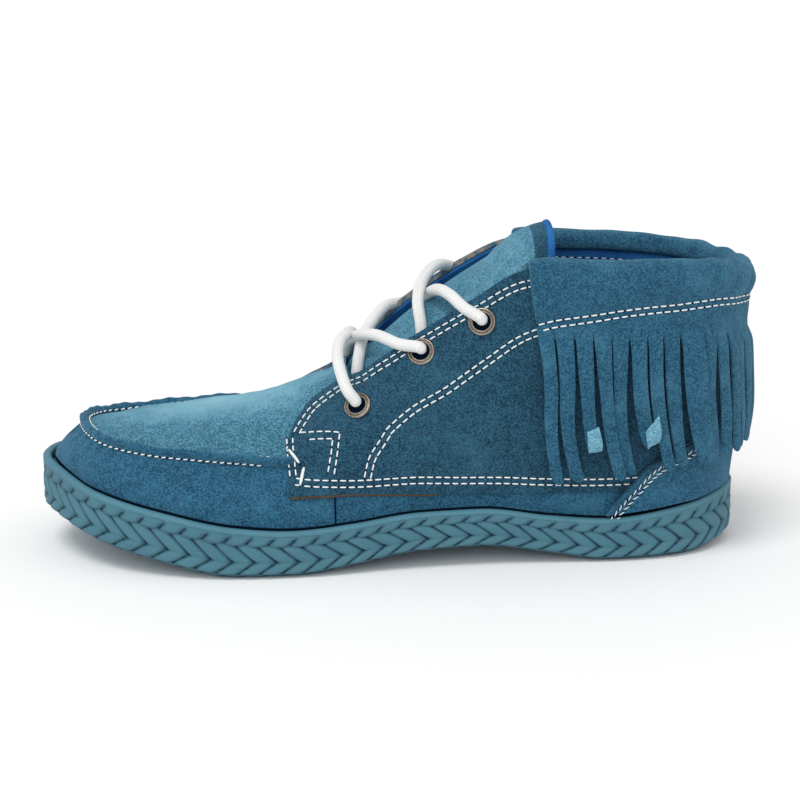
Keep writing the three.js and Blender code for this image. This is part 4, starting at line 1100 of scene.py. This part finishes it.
def strip_shape(number, start, end, tip_section, tip_height, stand, twist, curl):
    """One strip from the band down to its tip. curl is the slant of an end that rolls outwards."""

    def shape(a, b):
        b = 1 - b
        across = 2 * a - 1
        middle, half = (start + end) / 2, (end - start) / 2
        edge = skin(np.full_like(b, middle), meet)[:, 2]
        top = edge - fringe_drop + 0.003
        tip = tip_height / 1000
        j = middle + (tip_section - middle) * b**1.2 + 0.02 * b * np.sin(5.5 * b + 1.7 * number)
        width = half * (1 - 0.15 * b - 0.03 * np.sin(9 * b + number))
        off = 0.00395 + 0.0004 * step(0.0, 0.06, b) + stand_curve(b) * (stand - 1) / 1000
        off = off + twist * 0.0011 * across * b + 0.00035 * b * np.sin(7 * b + 2.3 * number)
        off = off + 0.0003 * (1 - across**2) * step(0.05, 0.2, b)
        if curl:
            turn = np.clip((b - curl_start) / (1 - curl_start), 0, 1) * curl_turn
            base = top + (tip - top) * 0.86
            height = top + (base - top) * np.minimum(b / curl_start, 1) - curl_radius * np.sin(turn)
            height = height + curl / 1000 * across * step(curl_start, 1.0, b)
            off = off + 0.0026 * (1 - np.cos(turn))
            width = width * (1 - 0.25 * step(0.93, 1.0, b))
        else:
            cut = 0.0016 * np.abs(across) ** 2.5 + 0.0007 * math.sin(4.3 * number) * across
            height = top + (tip + cut - top) * b
        j = j + across * width
        return on_last(j, v_at_height(j, height), off)

    return shape


strip_pieces = []
for number, row in enumerate(strips):
    strip = grid_piece(f"strip_{number}", 8, 34, strip_shape(number, *row), fringe_suede, merge=0)
    strip_pieces.append(strip)
deselect()
for strip in strip_pieces:
    strip.select_set(True)
fringe = strip_pieces[0]
bpy.context.view_layer.objects.active = fringe
bpy.ops.object.join()
fringe.name = "fringe_strips"
fringe.data.materials.append(flesh_side)
fringe.data.materials.append(cut_edge)
thicken(fringe, strip_thickness, back=1, bevel=0.0003)
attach(fringe, "root")


# Tongue welt.
# The lining is turned over the tongue's end and shows there as a soft blue welt, 3 mm thick.
strand_gap = 0.0009
welt_radius = 0.0015


def smooth_path(knots, count):
    """Evenly spaced points along a smooth curve through the knots."""
    knots = np.array(knots, float)
    padded = np.vstack([2 * knots[0] - knots[1], knots, 2 * knots[-1] - knots[-2]])
    fine = []
    for i in range(1, len(padded) - 2):
        p, q, r, s = padded[i - 1 : i + 3]
        for t in np.linspace(0, 1, 24, endpoint=False):
            bend, twist = 2 * p - 5 * q + 4 * r - s, 3 * q - p - 3 * r + s
            fine.append(0.5 * (2 * q + (r - p) * t + bend * t**2 + twist * t**3))
    fine.append(knots[-1])
    fine = np.array(fine)
    run = run_of(fine)
    return between(np.linspace(0, run[-1], count), run, fine), run[-1]


def cord(name, knots, radius, material, columns, around=20):
    """A round cord along a path, with closed round ends, marked along and around for its braid."""
    path, length = smooth_path(knots, columns)
    along_path = unit(np.gradient(path, axis=0))
    side = np.cross(along_path[0], (0.3, 0.2, 0.93))
    sides = []
    for direction in along_path:
        side = unit(side - direction * (side @ direction))
        sides.append(side)
    sides = np.array(sides)
    steps = np.arange(columns)

    def shape(a, b):
        from_end = np.minimum(a, 1 - a) * length
        thin = np.sqrt(np.clip(1 - (1 - np.clip(from_end / radius, 0, 1)) ** 2, 0, 1))
        spot = a * (columns - 1)
        at = between(spot, steps, path)
        ahead, first = unit(between(spot, steps, along_path)), unit(between(spot, steps, sides))
        second = np.cross(ahead, first)
        turn = full_turn * b
        ring = first * np.cos(turn)[:, None] + second * np.sin(turn)[:, None]
        marks = {"lace_run": a * length / strand_gap * math.pi, "lace_turn": turn * 6}
        return at + ring * (radius * thin)[:, None], marks

    piece = grid_piece(name, columns - 1, around, shape, material)
    face_out(piece)
    return piece


tongue_across = np.linspace(1.0, 0.0, 34)
welt_path = tongue_point(tongue_across, np.full_like(tongue_across, 0.992)) + np.array([0.0016, 0.0, -0.0006])
tongue_welt = cord("tongue_welt", welt_path, welt_radius, twill, 120, around=14)
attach(tongue_welt, "root")


# Eyelets.
# Six rolled eyelets of nickel-plated brass, clinched through quarter and lining. The plating is warm
# and unevenly tarnished.
eyelets = [(7.5, 1.34), (8.94, 1.75), (10.07, 1.75)]
nickel = new_material("nickel_plated_brass")
nickel_place = add_node(nickel, "TexCoord", output="Object")
nickel_spots = add_node(nickel, "TexNoise", {"Scale": 900.0, "Detail": 3.0}, {"Vector": nickel_place}, "Fac")
nickel_tone = add_node(
    nickel, "Mix", {"data_type": "RGBA", 6: colour("#746C62"), 7: colour("#AAA298")}, {0: nickel_spots}, 2
)
nickel_rough = add_node(nickel, "MapRange", {"To Min": 0.26, "To Max": 0.42}, {"Value": nickel_spots})
nickel_skin = add_node(
    nickel, "BsdfPrincipled", {"Metallic": 1.0}, {"Base Color": nickel_tone, "Roughness": nickel_rough}
)
add_node(nickel, "OutputMaterial", None, {"Surface": nickel_skin})

# The shadowed space behind an eyelet and inside a needle hole: unlit lining and foam.
shade = mottled_material(
    "unlit_inside", {"Scale": 500.0}, "#050C14", "#0C1B2A", {"Roughness": 1.0, "Specular IOR Level": 0.0}
)

# Section through the ring: radius and height above the suede, in millimetres, from the hole's bottom
# over the inner bead, the groove and the outer roll, and back under.
ring_profile = np.array(
    [
        (2.7, -2.4), (2.9, -0.6), (3.1, 0.45), (3.35, 0.9), (3.65, 1.0), (3.9, 0.75), (4.1, 0.35), (4.3, 0.6),
        (4.6, 0.85), (4.9, 0.75), (5.15, 0.4), (5.2, 0.0), (5.0, -0.5), (3.6, -0.6), (3.4, -2.4), (2.7, -2.4),
    ]
)
hole_radius = 0.0031


def eyelet_ring(name, at, out, run):
    """A rolled ring that stands on a place of the quarter and faces out."""
    run = unit(run - out * (run @ out))
    side = np.cross(out, run)

    def shape(a, b):
        points = len(ring_profile)
        radius, height = between(b * (points - 1), np.arange(points), ring_profile / 1000).T
        turn = full_turn * a
        ring = run * np.cos(turn)[:, None] + side * np.sin(turn)[:, None]
        return at + ring * radius[:, None] + out * height[:, None]

    ring = grid_piece(name, 56, 45, shape, nickel)
    face_out(ring)
    return ring


for number, (j, v) in enumerate(eyelets, 1):
    for side in ("outer", "inner"):
        j_side = on_side(side, j)
        place = on_last(j_side, v, overlay)
        out = facing(j_side, v)
        run = skin(j_side + 0.1, v) - skin(j_side - 0.1, v)
        name = f"eyelet_{side}_{number}"
        ring = eyelet_ring(name + "_ring", place, out, run)
        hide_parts(name)
        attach(ring, "root")
        # A thin dark disc in the unlit material paints the shade inside the eyelet's hole.
        deselect()
        bpy.ops.mesh.primitive_cylinder_add(
            vertices=32,
            radius=hole_radius,
            depth=0.0006,
            location=Vector(place + out * 0.00005),
            rotation=Vector(out).to_track_quat("Z", "Y").to_euler(),
        )
        hole = bpy.context.object
        hole.name = name + "_hole"
        bpy.ops.object.transform_apply(location=True, rotation=True, scale=True)
        hole.data.materials.append(shade)
        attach(hole, "root")


# Laces.
# Round white cotton cord, 4 mm thick, braided. One end of each run dives into an eyelet, the other
# goes under the edge of the opposite quarter.
cotton = new_material("braided_white_cotton")
cotton_place = add_node(cotton, "TexCoord", output="Object")
lace_run = add_node(cotton, "Attribute", {"attribute_name": "lace_run"}, output="Fac")
lace_turn = add_node(cotton, "Attribute", {"attribute_name": "lace_turn"}, output="Fac")
# Strands cross both ways round the cord, 0.9 mm apart.
strand_up = add_node(cotton, "Math", {"operation": "ADD"}, {0: lace_run, 1: lace_turn})
strand_down = add_node(cotton, "Math", {"operation": "SUBTRACT"}, {0: lace_run, 1: lace_turn})
wave_up = add_node(cotton, "Math", {"operation": "SINE"}, {0: strand_up})
wave_down = add_node(cotton, "Math", {"operation": "SINE"}, {0: strand_down})
braid = add_node(cotton, "Math", {"operation": "MULTIPLY"}, {0: wave_up, 1: wave_down})
fuzz = add_node(cotton, "TexNoise", {"Scale": 2600.0, "Detail": 2.0}, {"Vector": cotton_place}, "Fac")
weave = add_node(cotton, "Math", {"operation": "MULTIPLY_ADD", 1: 0.5}, {0: braid, 2: fuzz})
cotton_share = add_node(cotton, "MapRange", {"From Min": 0.1, "From Max": 0.8}, {"Value": weave})
cotton_tone = add_node(
    cotton, "Mix", {"data_type": "RGBA", 6: colour("#D2D4D4"), 7: colour("#E4E4E2")}, {0: cotton_share}, 2
)
cotton_bump = add_node(cotton, "Bump", {"Strength": 0.4, "Distance": 0.0002}, {"Height": weave})
cotton_skin = add_node(
    cotton,
    "BsdfPrincipled",
    {"Roughness": 0.9, "Specular IOR Level": 0.2, "Sheen Weight": 0.2},
    {"Base Color": cotton_tone, "Normal": cotton_bump},
)
add_node(cotton, "OutputMaterial", None, {"Surface": cotton_skin})


def into_eyelet(number, side):
    """Two points of a lace at an eyelet: inside its hole, and where it comes over the ring."""
    j, v = eyelets[number - 1]
    j = on_side(side, j)
    out = facing(j, v)
    return [on_last(j, v, overlay) + out * 0.0004, on_last(j, v + 0.03, overlay) + out * 0.0028]


lace_radius = 0.0022
# Each run: its name, the eyelet that it starts from, the solid that it stands for, and its points.
lace_runs = [
    (
        "lace_bar_cord", 1, "outer", "lace_bar",
        [
            (-0.1155, -0.0297, 0.0668), (-0.118, -0.0205, 0.0745), (-0.1172, -0.011, 0.0792), (-0.1138, -0.001, 0.081),
            (-0.112, 0.01, 0.079), (-0.1115, 0.02, 0.0755), (-0.112, 0.028, 0.0695), *into_eyelet(1, "inner")[::-1],
        ],
    ),
    (
        "lace_lower_outer", 2, "outer", "lace_cross_lower",
        [
            (-0.0958, -0.0245, 0.0815), (-0.1031, -0.017, 0.0832), (-0.1087, -0.008, 0.0818),
            (-0.1118, 0.002, 0.0785), (-0.1134, 0.009, 0.0745), (-0.1142, 0.0135, 0.0695),
        ],
    ),
    (
        "lace_lower_inner", 2, "inner", None,
        [
            (-0.0935, 0.0262, 0.0868), (-0.0985, 0.0185, 0.0872), (-0.1034, 0.009, 0.0842),
            (-0.1078, 0.0, 0.0792), (-0.1098, -0.0075, 0.0738), (-0.111, -0.0115, 0.066),
        ],
    ),
    (
        "lace_upper_outer", 3, "outer", "lace_cross_upper",
        [
            (-0.0722, -0.0243, 0.0948), (-0.0767, -0.018, 0.0983), (-0.0803, -0.009, 0.0987), (-0.0831, 0.002, 0.0953),
            (-0.0848, 0.011, 0.0917), (-0.0856, 0.0175, 0.0882), (-0.0858, 0.0215, 0.0845),
        ],
    ),
    (
        "lace_upper_inner", 3, "inner", None,
        [
            (-0.0735, 0.0255, 0.1015), (-0.0785, 0.0165, 0.1035), (-0.0829, 0.008, 0.1023), (-0.0865, 0.0, 0.0984),
            (-0.0878, -0.008, 0.0935), (-0.0872, -0.013, 0.0875), (-0.0866, -0.0165, 0.0795),
        ],
    ),
]
for name, eyelet, side, solid, places in lace_runs:
    columns = 140 if solid == "lace_bar" else 90
    lace = cord(name, into_eyelet(eyelet, side) + places, lace_radius, cotton, columns)
    if solid:
        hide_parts(solid)
    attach(lace, "root")


# Stitching.
# White bonded thread in double rows: on the quarters, round the cuff, along the counter and, thicker,
# in the moccasin seam. Between two stitches the thread dips into its needle hole.
thread = mottled_material(
    "white_sewing_thread",
    {"Scale": 1500.0, "Detail": 2.0},
    "#C9D2D6",
    "#F4F4F2",
    {"Roughness": 0.75, "Specular IOR Level": 0.3},
    bump=(0.4, 0.0002),
)
stitch_pitch = 0.0032
stitch_length = 0.0025
thread_radius = 0.0003
rows_apart = 0.0023
needle_radius = 0.00036


def beads(name, centres, along_rows, outs, length, radius, flat, material):
    """One small rounded body at each centre, all in one mesh: a short thread or a needle hole."""
    deselect()
    bpy.ops.mesh.primitive_uv_sphere_add(segments=8, ring_count=6, radius=1.0)
    piece = bpy.context.object
    piece.name = name
    size = len(piece.data.vertices)
    copies = piece.modifiers.new("copies", "ARRAY")
    copies.count = len(centres)
    copies.use_merge_vertices = False
    bpy.ops.object.modifier_apply(modifier=copies.name)
    flat_list = np.empty(len(piece.data.vertices) * 3)
    piece.data.vertices.foreach_get("co", flat_list)
    ball = flat_list.reshape(-1, 3)[:size]
    sides = unit(np.cross(outs, along_rows))
    reach = np.sign(ball[:, 2]) * np.abs(ball[:, 2]) ** 0.6
    sag = -0.5 * radius * reach**2
    placed = (
        centres[:, None, :]
        + along_rows[:, None, :] * (reach * length / 2)[None, :, None]
        + sides[:, None, :] * (ball[:, 0] * radius)[None, :, None]
        + outs[:, None, :] * (ball[:, 1] * radius * flat + sag)[None, :, None]
    )
    piece.data.vertices.foreach_set("co", placed.reshape(-1))
    bpy.ops.object.shade_smooth()
    piece.data.materials.append(material)
    face_out(piece)
    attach(piece, "root")
    return piece


def sewn_row(
    name, line, pitch=stitch_pitch, length=stitch_length, radius=thread_radius, shift=0.0, start=0.5, slant=0.0
):
    """A row of stitches with their needle holes along a line of points and their outward directions."""
    points, outs = line
    run = run_of(points)
    count = max(1, round(run[-1] / pitch - start + 0.4))
    spots = (np.arange(count) + start) * pitch
    holes = (np.arange(count + 1) + start - 0.5) * pitch

    def at(places):
        out = unit(between(places, run, outs))
        step_on = unit(between(places + 0.0006, run, points) - between(places - 0.0006, run, points))
        side = unit(np.cross(out, step_on))
        return between(places, run, points) + side * shift, unit(step_on + side * slant), out

    spot, step_on, out = at(spots)
    beads(name, spot + out * radius * 0.55, step_on, out, length, radius, 0.8, thread)
    # The needle holes are small dark beads in the unlit material: painted shade.
    spot, step_on, out = at(np.clip(holes, 0, run[-1]))
    beads(name + "_holes", spot, step_on, out, 2.5 * needle_radius, needle_radius, 0.35, shade)


def surface_line(places, side="outer", fine=160, lift=0.0):
    """Points on the quarter along a smooth line through sections and heights."""
    places = np.array(places, float)
    run = np.concatenate([[0], np.cumsum(np.hypot(np.diff(places[:, 0]), 3 * np.diff(places[:, 1])))])
    even = np.linspace(0, run[-1], fine)
    if len(places) > 2:
        j, v = (steady_curve(run, column)(even) for column in places.T)
    else:
        j, v = between(even, run, places).T
    j_side = on_side(side, j)
    return on_last(j_side, v, quarter_swell(j_side, v) + lift), facing(j_side, v)


curved_seam = [
    (7.44, 0.62), (7.6, 0.8), (7.88, 0.93), (8.22, 1.07), (8.58, 1.18),
    (9.11, 1.26), (9.62, 1.36), (10.16, 1.45), (10.57, 1.5), (11.04, 1.54),
]
flap_row = [(6.07, 0.82), (7.0, 0.66), (8.15, 0.53), (9.94, 0.41), (12.9, 0.41)]
throat_sections = (6.12, 6.3, 6.5, 6.91, 7.25, 7.63, 8.18, 8.7, 9.4, 10.2, 11.15)
below_throat = [(j, float(throat_edge(j)) - 0.085) for j in throat_sections]
# A small box of stitching reinforces the front of the quarter.
box_front = [(6.1, 1.22), (6.09, 1.02), (6.1, 0.84)]
for side in ("outer", "inner"):
    hand = -1 if side == "inner" else 1
    for label, places, shift in (
        ("curved_seam", curved_seam, 0.0),
        ("curved_seam_second", curved_seam, -rows_apart),
        ("flap_row", flap_row, 0.0),
        ("flap_row_second", flap_row, -0.0024),
        ("throat_row", below_throat, 0.0),
        ("throat_row_second", below_throat, -rows_apart),
        ("box_top", [(6.24, 1.24), (6.66, 1.17), (7.08, 1.1)], 0.0),
        ("box_right", [(7.08, 1.1), (6.96, 0.92), (6.85, 0.744)], 0.0),
        ("box_left", box_front, 0.0),
        ("box_left_second", box_front, -0.0022),
        ("box_inner", [(6.92, 1.065), (6.81, 0.9), (6.71, 0.745)], 0.0),
        ("box_top_inner", [(6.42, 1.14), (6.92, 1.065)], 0.0),
    ):
        sewn_row(f"{label}_{side}", surface_line(places, side), shift=shift * hand)

# The cuff's double row runs on from the curved seam and round the heel.
cuff_j = np.linspace(cuff_start + 0.02, all_round - cuff_start - 0.02, 900)


def cuff_face(j, drop):
    """Point on the cuff's outer face, a drop in millimetres below the collar's edge."""
    offset = np.interp(drop, [3.6, 7, 11, 15, 19, 22.5], [5.3, 5.1, 4.7, 4.3, 4.1, 4.1])
    roll, crease, pinch = cuff_folds(j, drop)
    height = skin(j, meet)[:, 2] - drop / 1000
    return on_last(j, v_at_height(j, height), (offset - pinch + 0.35 * roll + crease + 0.14) / 1000)


for number, extra in enumerate((0.0, 2.3)):
    line = cuff_face(cuff_j, stitch_drop(round_back(cuff_j)) + extra - 1.1)
    sewn_row(f"cuff_row_{number}", (line, facing(cuff_j, np.full_like(cuff_j, 1.6))), start=0.5 + 0.4 * number)

# Chain stitching a little inside the counter's front edge.
for side in ("outer", "inner"):
    v = np.linspace(0.08, 0.7, 200)
    j = on_side(side, counter_front(v))
    hand = -1 if side == "inner" else 1
    for number, back in enumerate((0.0026, 0.0044)):
        sewn_row(
            f"counter_row_{side}_{number}",
            (on_last(j, v, 2 * overlay), facing(j, v)),
            pitch=0.0027,
            length=0.0024,
            radius=0.00022,
            shift=-back * hand,
            start=0.5 * number + 0.5,
            slant=0.35 - 0.7 * number,
        )

# Hand-sewn stitches of the moccasin seam, on the wall's side and on the apron's side.
for label, low, high, lift, lean in (
    ("wall_side", -5.4, 5.4, 0.0003, 0.0017),
    ("apron_side", -5.6, 5.6, 0.0004, -0.0018),
):
    j = np.linspace(low, high, 900)
    at, side, up = ridge_frame(j)
    out = unit(side * np.sign(lean) + up * 0.35)
    sewn_row(
        f"moccasin_{label}",
        (at + side * lean + up * lift, out),
        pitch=0.0027,
        length=0.0018,
        radius=0.00032,
        slant=0.2,
    )

# One fine row inside the collar holds the lining to the cuff.
inside_j = np.linspace(11.3, all_round - 11.3, 700)
inside_v = v_at_height(inside_j, skin(inside_j, meet)[:, 2] - 0.0078)
inside_line = on_last(inside_j, inside_v, -0.0021), -facing(inside_j, inside_v)
sewn_row("lining_row", inside_line, radius=0.0002, length=0.0019)

# The wall is pieced behind the ball of the foot with a plain butt seam, a dark line on each side.
for side in ("outer", "inner"):
    line = surface_line([(6.82, 0.62), (6.81, 0.4), (6.79, 0.12)], side, fine=12, lift=0.0001 - overlay)
    butt = cord("butt_seam_" + side, line[0], 0.00028, shade, 24, around=8)
    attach(butt, "root")

# Where the upper enters the cup, a thin dark cord stands for painted shadow in the joint, with some dried cement.
joint_j = np.linspace(0, all_round, 200)
joint = on_last(joint_j, v_at_height(joint_j, sole_rim(skin(joint_j, 0)[:, 0]) + 0.0001), 0.0001)
shadow_and_cement_line = cord("shadow_and_cement_line", joint, 0.00045, shade, 900, around=8)
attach(shadow_and_cement_line, "root")

# Under the front of each quarter the raw edge hangs free and shows brown, darkened with painted shade.
for side in ("outer", "inner"):
    j = np.linspace(quarter_front + 0.01, 8.8, 60)
    j_side = on_side(side, j)
    edge = on_last(j_side, v_at_height(j_side, quarter_low(j) * collar_height - 0.0003), 0.0006)
    raw_edge = cord("raw_flap_edge_" + side, edge, 0.0007, raw_brown, 300, around=10)
    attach(raw_edge, "root")

# Two long hand stitches hold each front corner of the quarters.
for side in ("outer", "inner"):
    for number, ends in enumerate(([(5.98, 1.11), (6.2, 0.95)], [(6.28, 0.92), (6.16, 0.72)])):
        line = surface_line(ends, side, lift=0.0003)
        length = np.linalg.norm(line[0][-1] - line[0][0])
        sewn_row(f"corner_stitch_{side}_{number}", line, pitch=length, length=length * 0.97, radius=0.0006)
